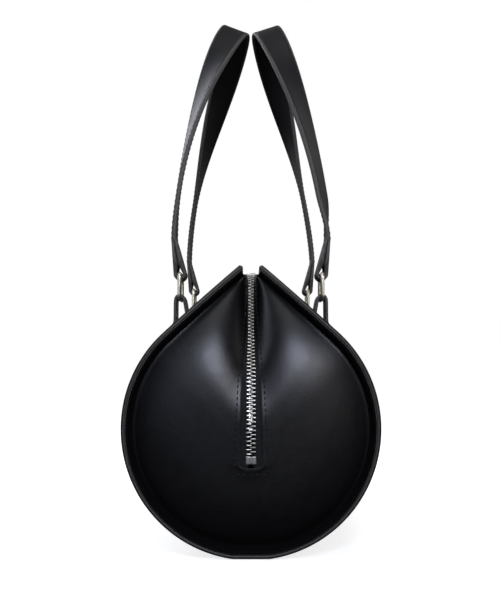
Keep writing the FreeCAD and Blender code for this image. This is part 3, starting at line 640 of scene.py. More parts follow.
def make_materials(looks):
    """Makes each material once. The last numbers are its roughness where it is smoothest and roughest."""
    if MATERIALS:
        return
    black = looks.leather_colour
    # Polished for the body, so that the belly gleams; only waxed on the straps, which look duller
    MATERIALS["leather"] = leather_material(looks, "polished_calf_leather", black, 0.31, 0.42)
    # The straps' paler colour is partly painted light on their unlit faces
    MATERIALS["strap"] = leather_material(
        looks, "waxed_strap_leather", looks.strap_colour_and_fill, 0.46, 0.58, ior=1.35)
    # The rim edge's outer half is burnished, not painted, and kept black and dull: painted shade where it
    # turns from the light. The fold behind it is unpolished and dull, and its weak reflection is painted
    # shade in the groove
    MATERIALS["burnished"] = leather_material(looks, "burnished_leather_edge_and_shade", black, 0.75, 0.85)
    # Its low IOR cuts the fold's reflection: painted shade in the groove inside the rim
    MATERIALS["fold"] = leather_material(looks, "dull_leather_fold_painted_shade", black, 0.85, 0.95, ior=1.15)
    MATERIALS["leather_edge"] = edge_material(looks, "painted_leather_edge", looks.edge_colour)
    MATERIALS["strap_edge"] = edge_material(looks, "painted_strap_edge", looks.strap_edge_colour_and_lift)
    # The seams' thread is dry, so it stays dark in the leather's highlights; the straps' thread is waxed
    MATERIALS["leather_thread"] = thread_material(looks, "dry_polyester_thread", 0.75, 0.9)
    MATERIALS["strap_thread"] = thread_material(looks, "waxed_polyester_thread", 0.34, 0.5)
    MATERIALS["tape"] = tape_material(looks)
    # Teeth are pressed from brass strip, tumbled and nickel plated; the stops stay dull from the press
    MATERIALS["zip_metal"] = metal_material(looks, "nickel_plated_brass", looks.zip_colour, 0.24, 0.36)
    MATERIALS["stop_metal"] = metal_material(looks, "pressed_dull_nickel", looks.stop_colour, 0.42, 0.58)
    # Drawn steel wire, polished and plated: long scratches, and a mirror that is only a little soft
    MATERIALS["ring_metal"] = metal_material(
        looks, "pale_gold_plated_wire", looks.ring_colour, 0.24, 0.34, looks.scratch_stretch)


def place(obj, body, slot, *nodes):
    """Hangs a piece on a body and hides the CAD pieces that it stands for. The name of its finish is not
    used.
    """
    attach(obj, body)
    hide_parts(*nodes)


def leather_set(kind, *more):
    """A leather, its edge paint, its thread and any further materials, in the order that faces count them."""
    return [MATERIALS[key] for key in (kind, kind + "_edge", kind + "_thread", *more)]


# Shapes of the bag


def zip_path(form, travel):
    """Setback, height above the axis and lean along the zip.

    It is a climb, an arc, a slant, an arc and the ridge, one after another.
    """
    z = form.zip
    bend = np.clip(travel - form.climb, 0, form.bend_length) / z.bend_radius
    slant = np.clip(travel - form.climb - form.bend_length, 0, form.slant)
    crest = np.clip(travel - form.crest_start, 0, form.crest) / z.crest_radius
    ridge = np.maximum(travel - form.ridge_start, 0)
    setback = form.zip_setback + z.bend_radius * (1 - np.cos(bend)) + slant * math.sin(z.lean) + ridge
    setback = setback + z.crest_radius * (math.cos(z.lean) - np.cos(z.lean + crest))
    height = form.foot + np.minimum(travel, form.climb) + z.bend_radius * np.sin(bend)
    height = height + slant * math.cos(z.lean) + z.crest_radius * (np.sin(z.lean + crest) - math.sin(z.lean))
    return setback, height, bend + crest


def valley_tilt(form, travel):
    """How far the zip's halves tip together: eased in by height, and out again over the crest."""
    z = form.zip
    sink = smooth(zip_path(form, travel)[1], z.valley_start, z.valley_full)
    return z.valley * sink * (1 - smooth(travel, form.crest_start, form.ridge_start))


def zip_frame(form, travel, end, side, tip=1.0):
    """Middle of the chain, its direction, and one half's sideways and outward directions.

    A share of the half's tilt turns the last two about the chain.
    """
    setback, height, turn = zip_path(form, travel)
    tilt = tip * valley_tilt(form, travel)[:, None]
    middle = stack(0, end * (form.half - setback), form.axis + height)
    along = stack(0, -end * np.sin(turn), np.cos(turn))
    out = stack(0, end * np.cos(turn), np.sin(turn))
    aside = np.array([side, 0.0, 0.0])
    across = aside * np.cos(tilt) + out * np.sin(tilt)
    outward = out * np.cos(tilt) - aside * np.sin(tilt)
    return middle, along, across, outward


def rim_line(form, part, inset):
    """Sideways place and height above the axis of the rim: down the flank, round the belly, onto the base.

    The base is met softly: the depth is a smooth least of the circle's and the flat's, half of their sum
    less the root of their squared difference and a squared softness.
    """
    b = form.body
    radius = b.radius - inset
    slope = np.array([math.sin(b.roof), math.cos(b.roof)])
    foot = slope * radius
    top = np.array([b.top_gap / 2, form.top]) - slope * inset
    top = top + unit(foot - top) * (b.seam + b.panel)
    flank = np.linalg.norm(foot - top)
    travel = part * (flank + radius * (math.pi - b.roof))
    turn = b.roof + np.maximum(travel - flank, 0) / radius
    low, base = -radius * np.cos(turn), form.axis - inset
    settled = (low + base - np.sqrt((low - base) ** 2 + b.base_soft ** 2)) / 2
    straight = mixed(top, foot, np.clip(travel / flank, 0, 1)[:, None])
    past = travel > flank
    return np.where(past, radius * np.sin(turn), straight[:, 0]), np.where(past, -settled, straight[:, 1])


def slot_line(form, part, side, lift):
    """The slot's edge, lifted off the tape: down a flaring edge, and round a corner to the foot's middle.

    The travel eases out with the fifth power of what is left, and with a small even share. The corner is a
    squared quarter: the square roots of its cosine and sine.
    """
    z = form.zip
    ease, square = 5, 0.5
    half = z.slot / 2
    start = z.tail + half
    straight = form.crest_start - start
    travel = mixed(1 - (1 - part) ** ease, part, z.slot_even) * (straight + half * math.pi / 2)
    turn = np.maximum(travel - straight, 0) / half
    spot = np.maximum(form.crest_start - travel, start)
    middle, along, across, outward = zip_frame(form, spot, -1, side)
    reach = half + z.slot_flare * (1 - smooth(spot, start, form.climb + form.bend_length))
    corner = squared(np.maximum(circle(turn), 0), square)
    return middle + across * reach[:, None] * corner[:, :1] - along * half * corner[:, 1:] + outward * lift


def panel_grid(form, parts, side, skin):
    """Lines of an end panel's front or back: along the flange, round its bend, and straight in to the slot.

    The straight part swells forward by the crown times share times a power of one less share, over that
    product's peak. The power eases to one up the slot.
    """
    b = form.body
    inner_lines = 30
    flange_inset = b.wrap + b.seam
    bend_inset = flange_inset + b.panel + b.flange_bend
    bend_depth = b.flange - b.panel - b.flange_bend
    radius = b.panel + b.flange_bend - skin
    rim = [(flange_inset + skin, depth) for depth in (0, bend_depth / 2)]
    for run, rise in circle(np.linspace(0, math.pi / 2, BEND_LINES)) * radius:
        rim.append((bend_inset - run, bend_depth + rise))
    edge = form.rim_setback(rim_line(form, parts, flange_inset)[1])
    lines = []
    for inset, depth in rim:
        x, z = rim_line(form, parts, inset)
        lines.append(stack(side * x, -form.half + edge + depth, form.axis + z))
    start, end = lines[-1], slot_line(form, parts, side, form.tape_front + skin)
    climb = smooth(end[:, 2] - form.axis, form.zip.valley_start, form.zip.valley_full)
    fall = mixed(b.swell_fall, 1, climb)
    peak = (fall / (1 + fall)) ** fall / (1 + fall)
    for part in np.linspace(0, 1, inner_lines + 1)[1:]:
        swell = b.crown * part * (1 - part) ** fall / peak
        lines.append(mixed(start, end, part) - stack(0, swell, 0))
    return np.stack(lines, axis=1)


def wrap_line(form):
    """The rolled sheet's outer section and its outward directions, from one top edge round to the other.

    One half is a straight flank, an arc of the belly and half the flat, and the other half mirrors it.
    """
    b = form.body
    flank_count, belly_count, base_count = 24, 96, 6
    low = math.pi - math.asin(b.base_flat / 2 / b.radius)
    slope = np.array([[math.sin(b.roof), math.cos(b.roof)]])
    belly = circle(np.linspace(b.roof, low, belly_count)[1:])[:, ::-1]
    top = np.array([b.top_gap / 2, form.top])
    flank = mixed(top, slope * b.radius, np.linspace(0, 1, flank_count)[:, None])
    x = np.linspace(b.base_flat / 2, 0, base_count)[1:]
    base = np.stack([x, np.full_like(x, -form.axis)], axis=1)
    right = np.concatenate([flank, belly * b.radius, base])
    down = np.array([[0, -1.0]])
    outs = np.concatenate([slope.repeat(flank_count, axis=0), belly, down.repeat(len(base), axis=0)])
    flip = np.array([-1.0, 1.0])
    return np.concatenate([right, right[-2::-1] * flip]), np.concatenate([outs, outs[-2::-1] * flip])


def wrap_points(form, section, run):
    """Points of the rolled sheet: its section at each height, stretched between the two leaning rims."""
    reach = form.half - form.rim_setback(section[:, 1:])
    return stack(section[:, :1], reach * run, section[:, 1:] + form.axis)


def body_mesh(form):
    """The rolled sheet with its stitches along both rims.

    Its lines run from rim to rim by the sine of even steps, so that they crowd at the rims.
    """
    looks, thickness = form.looks, form.body.wrap
    lines = 61
    section, outs = wrap_line(form)
    run = np.sin(np.linspace(-1, 1, lines) * math.pi / 2) * (1 - thickness / 2 / form.half)
    front, back = [wrap_points(form, section - outs * depth, run) for depth in (0, thickness)]
    # The rim edge's outer half stays black and dull: painted shade where it turns from the light. Its inner
    # half takes the grey edge paint
    paint = np.where(np.arange(EDGE_STEPS) < EDGE_STEPS // 2, BURNISHED, EDGE)
    mesh = Mesh()
    add_sheet(mesh, front, back, edge_kind=paint[:, None])
    ways = stack(outs[:, 0], 0, outs[:, 1])
    middle, proud = len(section) // 2, looks.thread / 4
    for end in ENDS.values():
        row = wrap_points(form, section, np.array([end * (1 - looks.rim_stitch / form.half)]))[:, 0]
        for half in (slice(None, middle), slice(None, middle, -1)):
            off_base = row[half][:, 2] > looks.thread
            add_stitches(mesh, row[half][off_base], ways[half][off_base], looks, looks.thread, proud)
    return mesh


def panel_mesh(form, end):
    """One end panel with the stitches round its slot.

    Its rows run from the top to the foot by a power of even steps, so that they crowd at the top.
    """
    looks = form.looks
    half_rows, crowd = 90, 1.8
    parts = np.linspace(0, 1, half_rows) ** crowd
    grids = []
    for depth in (form.body.panel, 0):
        left, right = [panel_grid(form, parts, side, depth) for side in SIDES.values()]
        grids.append(np.concatenate([left, right[-2::-1]]) * np.array([1, -end, 1]))
    front, back = grids
    rows, columns = front.shape[:2]
    # The flange and its bend take the fold's leather: painted shade in the groove
    fold = np.where(np.arange(columns - 1) < FOLD_STRIPS, FOLD, 0)
    loop = border(rows, columns)
    on_slot = loop % columns == columns - 1
    high = front.reshape(-1, 3)[loop, 2] > form.axis
    # On the rim edge, the strips next to the wrap take grey edge paint, one band with the wrap edge's painted
    # half; the other strips take the fold's leather, painted shade
    near_wrap = np.arange(EDGE_STEPS)[:, None] > EDGE_STEPS // 2
    edge = np.where(on_slot, np.where(high, 0, BURNISHED), np.where(near_wrap, EDGE, FOLD))
    mesh = Mesh()
    add_sheet(mesh, front, back, np.broadcast_to(fold, (rows - 1, columns - 1)), edge)
    slot, inner = front[:, -1], front[:, -4]  # the slot's edge, and a line near it that gives the way inwards
    row = slot + unit(inner - slot) * looks.slot_stitch
    out = unit(slot - back[:, -1])
    thread, proud, last = looks.panel_thread, looks.panel_thread / 3, half_rows - 1
    for half in (slice(0, last), slice(2 * last, last, -1)):
        upper = row[half][:, 2] > form.axis - looks.box_top
        add_stitches(mesh, row[half][upper], out[half][upper], looks, thread, proud)
    add_stitches(mesh, *stitch_box(form, front, end), looks, thread, proud)
    return mesh


def stitch_box(form, front, end):
    """The stitches round the slot's foot, and their outward directions: down, across and up on the panel.

    Each point is as far out as the panel's nearest points, weighed by one over their squared distance.
    """
    looks = form.looks
    count, neighbours = 30, 4
    top, low = form.axis - looks.box_top, form.axis - looks.box_foot
    wide, narrow = looks.box_half, looks.box_half * looks.box_narrow
    corners = np.array([(-narrow, top), (-wide, low), (wide, low), (narrow, top)])
    steps = np.linspace(0, 1, count)[:, None]
    plan = np.concatenate([mixed(corners[k], corners[k + 1], steps) for k in range(3)])
    near = front.reshape(-1, 3)
    gaps = np.sum((plan[:, None] - near[None, :, [0, 2]]) ** 2, axis=2)
    nearest = np.argsort(gaps, axis=1)[:, :neighbours]
    weight = 1 / (np.take_along_axis(gaps, nearest, axis=1) + NEAR)
    depth = np.sum(near[nearest, 1] * weight, axis=1) / np.sum(weight, axis=1)
    return stack(plan[:, 0], depth, plan[:, 1]), np.broadcast_to([0.0, end, 0.0], (len(plan), 3))


def tape_mesh(form, side):
    """One tape: flat from its corded edge to its bend, then falling away behind the leather.

    The fall eases from a small angle on the ends to the flank's slope on the ridge.
    """
    z = form.zip
    rows, flat_lines, hem_lines = 180, 5, 3
    travel = np.linspace(0, form.zip_half, rows)
    crest_middle = (form.crest_start + form.ridge_start) / 2
    eased = smooth(travel, form.crest_start - z.tape_bend, crest_middle)
    fall = mixed(z.tape_fall, form.body.roof + valley_tilt(form, travel), eased)[:, None]
    fronts, backs = [], []
    for end in ENDS.values():
        middle, _, across, outward = zip_frame(form, travel, end, side)
        hem = across * np.cos(fall) - outward * np.sin(fall)
        hem_out = outward * np.cos(fall) + across * np.sin(fall)
        bend = middle + across * z.tape_bend
        lines = [middle + across * spot for spot in np.linspace(z.tape_edge, z.tape_bend, flat_lines)]
        lines += [bend + hem * spot for spot in np.linspace(0, z.tape_hem, hem_lines + 1)[1:]]
        grid = np.stack(lines, axis=1)
        normal = np.stack([outward] * flat_lines + [hem_out] * hem_lines, axis=1)
        if end > 0:
            grid, normal = grid[-2::-1], normal[-2::-1]
        fronts.append(grid + normal * z.tape / 2)
        backs.append(grid - normal * z.tape / 2)
    mesh = Mesh()
    add_sheet(mesh, np.concatenate(fronts), np.concatenate(backs), edge_kind=0, edge_steps=2)
    return mesh


def rounded_block(size, radius):
    """A block with round edges: a cube's points pulled in by the radius, then pushed out along the rest."""
    steps, flat = 3, 0.6
    line = np.concatenate([np.linspace(-1, -flat, steps), np.linspace(flat, 1, steps)])
    count = len(line)
    first, second = np.meshgrid(line, line, indexing="ij")
    points, faces = [], []
    half = np.asarray(size) / 2
    core = half - radius
    for axis in range(3):
        for sign in (-1, 1):
            cube = np.roll(stack(sign, first, second), axis, axis=-1) * half
            inner = np.clip(cube, -core, core)
            points.append((inner + unit(cube - inner + TINY) * radius).reshape(-1, 3))
            face = grid_faces(count, count) + len(faces) * count * count
            faces.append(face if sign > 0 else face[:, ::-1])
    return np.concatenate(points), np.concatenate(faces)


def teeth_mesh(form, side):
    """One row of teeth: round-edged bars with narrowing heads, set at even steps along the chain.

    Where the tape tips in, the bars keep their faces out and grow narrower by the cosine of its tilt.
    """
    z = form.zip
    first = z.pitch / 2 if side < 0 else 0.0
    chain = form.zip_half - z.tail - (z.slot_foot - z.stop_foot) - z.stop_length
    count = int((chain - first - z.tooth_length) / z.pitch) + 1
    size = (z.tooth_reach + z.overlap, z.tooth_length, z.tooth_height)
    tooth, faces = rounded_block(size, z.tooth_length * z.tooth_round)
    tooth[:, 0] += (z.tooth_reach - z.overlap) / 2
    root = smooth(tooth[:, 0], -z.overlap, z.tooth_reach / 2)
    tooth[:, 1] *= mixed(z.head_length, 1, root)
    tooth[:, 2] *= mixed(z.head_height, 1, root)
    mesh = Mesh()
    for end in ENDS.values():
        from_middle = first + np.arange(count) * z.pitch
        if end > 0:
            from_middle = from_middle[from_middle > 0]
        travel = form.zip_half - from_middle
        spot, along, across, outward = zip_frame(form, travel, end, side)
        face_across, face_out = zip_frame(form, travel, end, side, z.tooth_tip)[2:]
        narrow, rise = side * across[:, :1], -side * outward[:, :1]
        spread = z.slider_gap * (1 - smooth(from_middle, z.gap_start, z.gap_end))[:, None]
        spot = spot + across * spread + face_out * rise * z.tooth_reach * z.tooth_rise
        points = spot[:, None] + tooth[:, :1] * (narrow * face_across)[:, None]
        points = points + tooth[:, 1:2] * along[:, None] + tooth[:, 2:] * face_out[:, None]
        handed = np.sum(np.cross(across, along) * outward) > 0
        mesh.add(points, repeated(faces if handed else faces[:, ::-1], len(spot), len(tooth)))
    return mesh


def stop_mesh(form, end):
    """The square stop: two round-edged columns and a bar that joins them behind."""
    z = form.zip
    travel = np.array([z.tail + z.slot_foot - z.stop_foot + z.stop_length / 2])
    middle = zip_frame(form, travel, end, 1)[0]
    column, faces = rounded_block((z.stop_width * z.column_width, z.stop_height, z.stop_length), z.stop_round)
    bar = (z.stop_width * z.bar_share, z.stop_height * z.bar_height, z.stop_length * z.bar_share)
    bar, bar_faces = rounded_block(bar, z.bar_round)
    mesh = Mesh()
    for side in SIDES.values():
        mesh.add(column + middle + np.array([side * z.stop_width * z.column_place, 0, 0]), faces)
    return mesh.add(bar + middle, bar_faces)


def touching(start, radius):
    """A point's angle seen from a circle's middle, and the angle from there to where its line touches.

    The cosine of the second is the circle's radius over the point's distance.
    """
    return math.atan2(start[1], start[0]), math.acos(radius / math.hypot(*start))


def tab_mesh(form, side, end):
    """A tab: one strip from the belly up the flank, over the ring's bar, and back down under itself.

    Its line of straights and arcs is set at even steps and softened: a point goes to the mean of its two
    neighbours and twice itself.
    """
    t, b, looks = form.fit, form.body, form.looks
    belly_count, bar_count, rows, columns, rounds = 14, 16, 130, 15, 4
    outer_rows, first, margin = 60, 3, 2  # rows of the outer layer, and the row and line where stitches start
    radius = form.eye + t.layer / 2
    bar = np.array([t.offset, form.bar - form.axis])
    upper, lower = 1.5 * t.layer + b.seam, 0.5 * t.layer + b.seam  # the two layers' middles over the flank
    foot_out = np.array([t.offset + t.outer_foot, form.flank(t.offset + t.outer_foot, -upper)])
    foot_in = np.array([t.offset - t.inner_foot, form.flank(t.offset - t.inner_foot, -lower)])
    belly = circle(np.linspace(t.tab_end, b.roof, belly_count))[:, ::-1]
    up, down = belly * (b.radius + upper), belly[::-1] * (b.radius + lower)
    angle_out, open_out = touching(foot_out - bar, radius)
    angle_in, open_in = touching(foot_in - bar, radius)
    turns = np.linspace(angle_out + open_out, angle_in - open_in + 2 * math.pi, bar_count)
    over = bar + circle(turns) * radius
    path = np.concatenate([up, [mixed(up[-1], foot_out, 0.5), foot_out], over, [foot_in], down])
    travel = travelled(path)
    line = between(np.linspace(0, travel[-1], rows), travel, path)
    for _ in range(rounds):
        line[1:-1] = (line[:-2] + 2 * line[1:-1] + line[2:]) / 4
    ahead = unit(np.gradient(line, axis=0))
    out = np.stack([ahead[:, 1], -ahead[:, 0]], axis=1)
    width = np.linspace(-1, 1, columns) * (t.strap - t.layer) / 2

    def strip(lift):
        """The line, lifted along its outward directions and drawn out to the tab's width."""
        flat = line + out * lift
        return stack(side * flat[:, :1], end * t.spacing / 2 + width, flat[:, 1:] + form.axis)

    top = strip(t.layer / 2)
    mesh = Mesh()
    add_sheet(mesh, top, strip(-t.layer / 2))
    low = np.argmin(np.abs(line[:outer_rows, 1] - foot_out[1]))
    outs = stack(side * out[:, 0], 0, out[:, 1])
    proud = looks.thread / 3
    for edge in (0, -1):
        inward = unit(top[:, columns // 2] - top[:, edge]) * (looks.strap_stitch - t.layer / 2)
        add_stitches(mesh, (top[:, edge] + inward)[first:low], outs[first:low], looks, looks.thread, proud)
    for row in (first, low):
        across = top[row, margin:-margin]
        add_stitches(mesh, across, np.broadcast_to(outs[row], across.shape), looks, looks.thread, proud)
    return mesh


def ring_mesh(form, side, end):
    """A wire ring: a circle carried round a rectangle with round corners, and closed on itself."""
    t = form.fit
    corner_steps, around = 9, 20
    core = np.array([t.strap / 2 + t.ring_side + t.wire / 2, form.pitch / 2]) - t.ring_corner
    corners = np.array([(1, 1), (-1, 1), (-1, -1), (1, -1)]) * core
    quarter = np.linspace(0, math.pi / 2, corner_steps)
    out = circle(quarter + np.arange(4)[:, None] * math.pi / 2)
    path = (corners[:, None] + out * t.ring_corner).reshape(-1, 1, 2)
    height = form.bar + form.pitch / 2
    middle = stack(side * t.offset, path[..., 0] + end * t.spacing / 2, path[..., 1] + height)
    out = out.reshape(-1, 1, 2)
    wire = circle(np.linspace(0, 2 * math.pi, around, endpoint=False)) * t.ring_wire / 2
    points = middle + stack(wire[:, 1], wire[:, 0] * out[..., 0], wire[:, 0] * out[..., 1])
    return Mesh().add(points, grid_faces(len(path), around, True, True))


def strap_frames(form, turn, name):
    """Middle line of a strap, with the directions across it and out of its face.

    The line is half an ellipse that leans in with a power of the sine. The face turns from sideways to up
    with a power of the rise past each leg's start, and the front leg takes a share of that turn early.
    """
    t, side = form.fit, SIDES[name]
    bow, early = getattr(t, name + "_bow"), getattr(t, name + "_set")
    starts = [getattr(t, name + "_" + end + "_twist") for end in ENDS]
    lean_in, tip = form.strap_lean(bow)
    rise, run = np.maximum(np.sin(turn), 0), np.cos(turn)
    reach = t.spacing / 2
    spot = stack(side * (form.arch_foot - lean_in * rise ** bow), -reach * run, form.arch * rise)
    inward = -bow * lean_in * rise ** (bow - 1) * run
    along = unit(stack(side * inward, reach * rise, form.arch * run))
    aside = np.broadcast_to(np.array([side, 0, 0.0]), spot.shape)
    aside = unit(aside - along * np.sum(aside * along, axis=1, keepdims=True))
    crown = stack(0, -form.arch * run, reach * rise)
    crown = crown - along * np.sum(crown * along, axis=1, keepdims=True)
    crown = unit(crown - aside * np.sum(crown * aside, axis=1, keepdims=True))
    front, rear = [np.clip((rise - start) / (1 - start), 0, 1) for start in starts]
    front = mixed(front ** t.front_power, 1, early * smooth(rise, 0, t.set_rise))
    roll = ((math.pi / 2 + tip) * np.where(run > 0, front, rear ** t.rear_power))[:, None]
    face = aside * np.cos(roll) + crown * np.sin(roll)
    return spot, np.cross(along, face), face


def sunk_frame(form, side, end):
    """The strap's last section, sunk into its leaning loop by the strap's thickness."""
    t = form.fit
    rising = np.array([[side * math.sin(t.loop_lean), 0, math.cos(t.loop_lean)]])
    face = np.array([[side * math.cos(t.loop_lean), 0, -math.sin(t.loop_lean)]])
    spot = np.array([[side * form.arch_foot, end * t.spacing / 2, 0]]) - rising * t.thickness
    return spot, np.cross(rising * -end, face), face


def handle_mesh(form, name):
    """One handle: a twisting two-layer strap with stitched edges, and a folded loop on each ring.

    A groove with a bell-shaped section runs along each row of stitches.
    """
    t, looks, side = form.fit, form.looks, SIDES[name]
    rows, columns = 181, 33
    turn = np.linspace(0, math.pi, rows)
    runs = [sunk_frame(form, side, -1), strap_frames(form, turn, name), sunk_frame(form, side, 1)]
    spot, across, face = [np.concatenate(arrays) for arrays in zip(*runs)]
    spot = spot + np.array([0, 0, form.bar + form.pitch + form.loop_rise])
    line = np.linspace(-1, 1, columns) * (t.strap - t.thickness) / 2
    seam = t.strap / 2 - looks.strap_stitch
    groove = t.groove_depth * np.exp(-((np.abs(line) - seam) / t.groove) ** 2)
    middle = spot[:, None] + across[:, None] * line[:, None]
    lift = face[:, None] * (t.thickness / 2 - groove)[:, None]
    mesh = Mesh()
    add_sheet(mesh, middle + lift, middle - lift)
    for edge in (-1, 1):
        for way in (-1, 1):
            row = spot + across * edge * seam + face * way * t.thickness / 2
            add_stitches(mesh, row, face * way, looks, looks.thread, looks.strap_proud)
    for end in ENDS.values():
        add_loop(mesh, form, side, end)
    return mesh


def drop_line(spots, radius):
    """Half a drop: straight through its points, on to a circle round the wire, and round to its foot."""
    count = 12
    seen, opening = touching(spots[-1], radius)
    bow = circle(np.linspace(seen - opening, -math.pi / 2, count)) * radius
    corners = np.array([*spots, bow[0]])
    stops = np.linspace(0, len(spots), count + 1)[:-1]
    return np.concatenate([between(stops, np.arange(len(corners)), corners), bow])


def add_loop(mesh, form, side, end):
    """A strap's folded end: two layers that meet over the wire, open only round the wire itself."""
    t = form.fit
    columns = 9
    outer = drop_line([(t.thickness / 2, t.loop_height)], form.eye + t.strap_layer)
    meet = form.body.seam / 2
    inner = drop_line([(meet, t.loop_height), (meet, t.eye_height)], form.eye)
    width = np.linspace(-1, 1, columns) * (t.strap - t.strap_layer) / 2
    lean_cos, lean_sin = math.cos(t.loop_lean), math.sin(t.loop_lean)

    def strip(half):
        """Half a drop and its mirror image, turned by the loop's lean and drawn out to the strap's width."""
        line = np.concatenate([half, (half * np.array([-1, 1]))[-2::-1]])
        line = line @ np.array([[lean_cos, -lean_sin], [lean_sin, lean_cos]])
        x, z = side * (t.offset + line[:, :1]), line[:, 1:] + form.bar + form.pitch
        return stack(x, end * t.spacing / 2 + width, z)

    add_sheet(mesh, strip(outer), strip(inner))


# Operators


class BagOperator:
    """Shared by the operators that build pieces."""
    bl_options = {"REGISTER", "UNDO"}

    def form(self, context):
        """The bag's derived lengths, with the materials ready."""
        sizes = context.scene.barrel_bag
        make_materials(sizes.looks)
        return Form(sizes)


class BAG_OT_body(BagOperator, bpy.types.Operator):
    """Build the rolled body and both end panels"""
    bl_idname = "barrel_bag.body"
    bl_label = "Body and end panels"

    def execute(self, context):
        form = self.form(context)
        body = body_mesh(form).build("leather_body", leather_set("leather", "burnished"))
        place(body, "bag", "leather", "body_wrap")
        finishes = leather_set("leather", "burnished", "fold")
        for name, end in ENDS.items():
            panel = panel_mesh(form, end).build("leather_end_" + name, finishes)
            place(panel, "bag", "leather", "end_panel_" + name)
        return {"FINISHED"}


class BAG_OT_zip(BagOperator, bpy.types.Operator):
    """Build the zip's tapes, teeth and stops, and finish its sliders and pulls"""
    bl_idname = "barrel_bag.zip"
    bl_label = "Zip"

    def execute(self, context):
        form = self.form(context)
        for name, side in SIDES.items():
            tape = tape_mesh(form, side).build("tape_" + name, [MATERIALS["tape"]])
            place(tape, "bag", "zip_tape", "zip_tape_" + name)
            teeth = teeth_mesh(form, side).build("teeth_" + name, [MATERIALS["zip_metal"]])
            place(teeth, "bag", "zip_metal", "zip_teeth_" + name)
        for name, end in ENDS.items():
            stop = stop_mesh(form, end).build("stop_" + name, [MATERIALS["stop_metal"]])
            place(stop, "bag", "zip_metal", "zip_stop_" + name)
            for kind in ("slider_", "pull_"):
                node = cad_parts[kind + name]
                node.data.materials.clear()
                node.data.materials.append(MATERIALS["zip_metal"])
        return {"FINISHED"}


class BAG_OT_fittings(BagOperator, bpy.types.Operator):
    """Build the leather tabs and their wire rings"""
    bl_idname = "barrel_bag.fittings"
    bl_label = "Tabs and rings"

    def execute(self, context):
        form = self.form(context)
        for side_name, side in SIDES.items():
            for end_name, end in ENDS.items():
                node = end_name + "_" + side_name
                tab = tab_mesh(form, side, end).build("leather_tab_" + node, leather_set("leather"))
                place(tab, "bag", "leather", "tab_" + node)
                ring = ring_mesh(form, side, end).build("wire_ring_" + node, [MATERIALS["ring_metal"]])
                place(ring, "ring_" + node, "ring_metal", "ring_" + node)
        return {"FINISHED"}


class BAG_OT_handles(BagOperator, bpy.types.Operator):
    """Build the two strap handles"""
    bl_idname = "barrel_bag.handles"
    bl_label = "Handles"

    def execute(self, context):
        form = self.form(context)
        for name in SIDES:
            strap = handle_mesh(form, name).build("strap_" + name, leather_set("strap"))
            place(strap, "handle_" + name, "leather", "handle_" + name)
        return {"FINISHED"}


def add_light(name, spot, target, size, watts, code):
    """A soft area light at a spot, turned to a target."""
    data = bpy.data.lights.new(name, "AREA")
    data.shape = "RECTANGLE"
    data.size, data.size_y = size
    data.energy = watts
    data.color = colour(code)
    light = bpy.data.objects.new(name, data)
    ahead = target - spot
    from_above = math.atan2(math.hypot(ahead[0], ahead[1]), -ahead[2])
    light.location = spot
    light.rotation_euler = (from_above, 0, math.atan2(-ahead[0], ahead[1]))
    bpy.context.scene.collection.objects.link(light)


# Name, degrees to the right of the front, degrees up, distance, size, watts and colour
LIGHTS = (
    ("front_high", 5, 29, 1.2, (0.20, 0.20), 6.0, "dfe5ff"),
    ("front_right", 16, 23, 1.2, (0.20, 0.16), 1.3, "fffaf0"),
    ("front_low", 0, 18, 1.2, (0.16, 0.20), 0.15, "eef1ff"),
    ("side_left", -22, 11, 1.2, (0.30, 0.30), 0.5, "d6deff"),
    ("side_right", 22, 10, 1.2, (0.30, 0.30), 0.2, "fffaf0"),
    ("strip_low", 0, 8, 1.2, (0.10, 0.20), 0.06, "ffffff"),
    ("strip_high", 0, 48, 1.2, (0.10, 0.30), 0.15, "ffffff"),
    ("overhead", 0, 78, 1.1, (0.7, 0.9), 2.2, "ffffff"),
    ("upper_left", -78, 42, 1.2, (0.4, 0.5), 1.4, "e6ebff"),
    ("upper_right", 58, 72, 1.1, (0.4, 0.4), 0.4, "ffffff"),
    ("card_left", -80, 8, 1.3, (0.7, 0.9), 3.5, "f4f6ff"),
    ("card_right", 80, 8, 1.3, (0.7, 0.9), 3.5, "ffffff"),
    ("back_left", -148, 35, 1.4, (0.6, 0.8), 6.5, "f4f6ff"),
    ("back_right", 135, 35, 1.4, (0.6, 0.8), 1.0, "ffffff"),
)


def paper_material(stage):
    """Backdrop paper, rolled smooth and evenly lit: white to the eye, with a little shade round the bag.

    To the bag it is dark, so that it throws no light up into the leather.
    """
    material = new_material("white_backdrop_paper", stage.backdrop_colour)
    seen = add_node(material, "LightPath").outputs["Is Camera Ray"]
    spot = add_node(material, "TexCoord")
    away = add_node(material, "VectorMath", {0: spot.outputs["Object"]}, operation="LENGTH")
    spread = add_node(
        material, "MapRange", {"Value": away.outputs["Value"]},
        From_Min=stage.shade_reach, From_Max=stage.glow_reach, To_Min=stage.shade_glow, To_Max=1.0)
    glow = add_node(material, "Math", {0: spread.outputs[0], 1: seen}, operation="MULTIPLY")
    pale = add_node(material, "MapRange", {"Value": seen}, To_Min=stage.floor_lit, To_Max=stage.floor_seen)
    links = {"Emission Strength": glow.outputs[0], "Base Color": pale.outputs[0]}
    return finish_material(
        material, stage.backdrop_colour, links, Roughness=0.9, Specular_IOR_Level=0.0,
        Emission_Color=(*stage.backdrop_colour, 1))


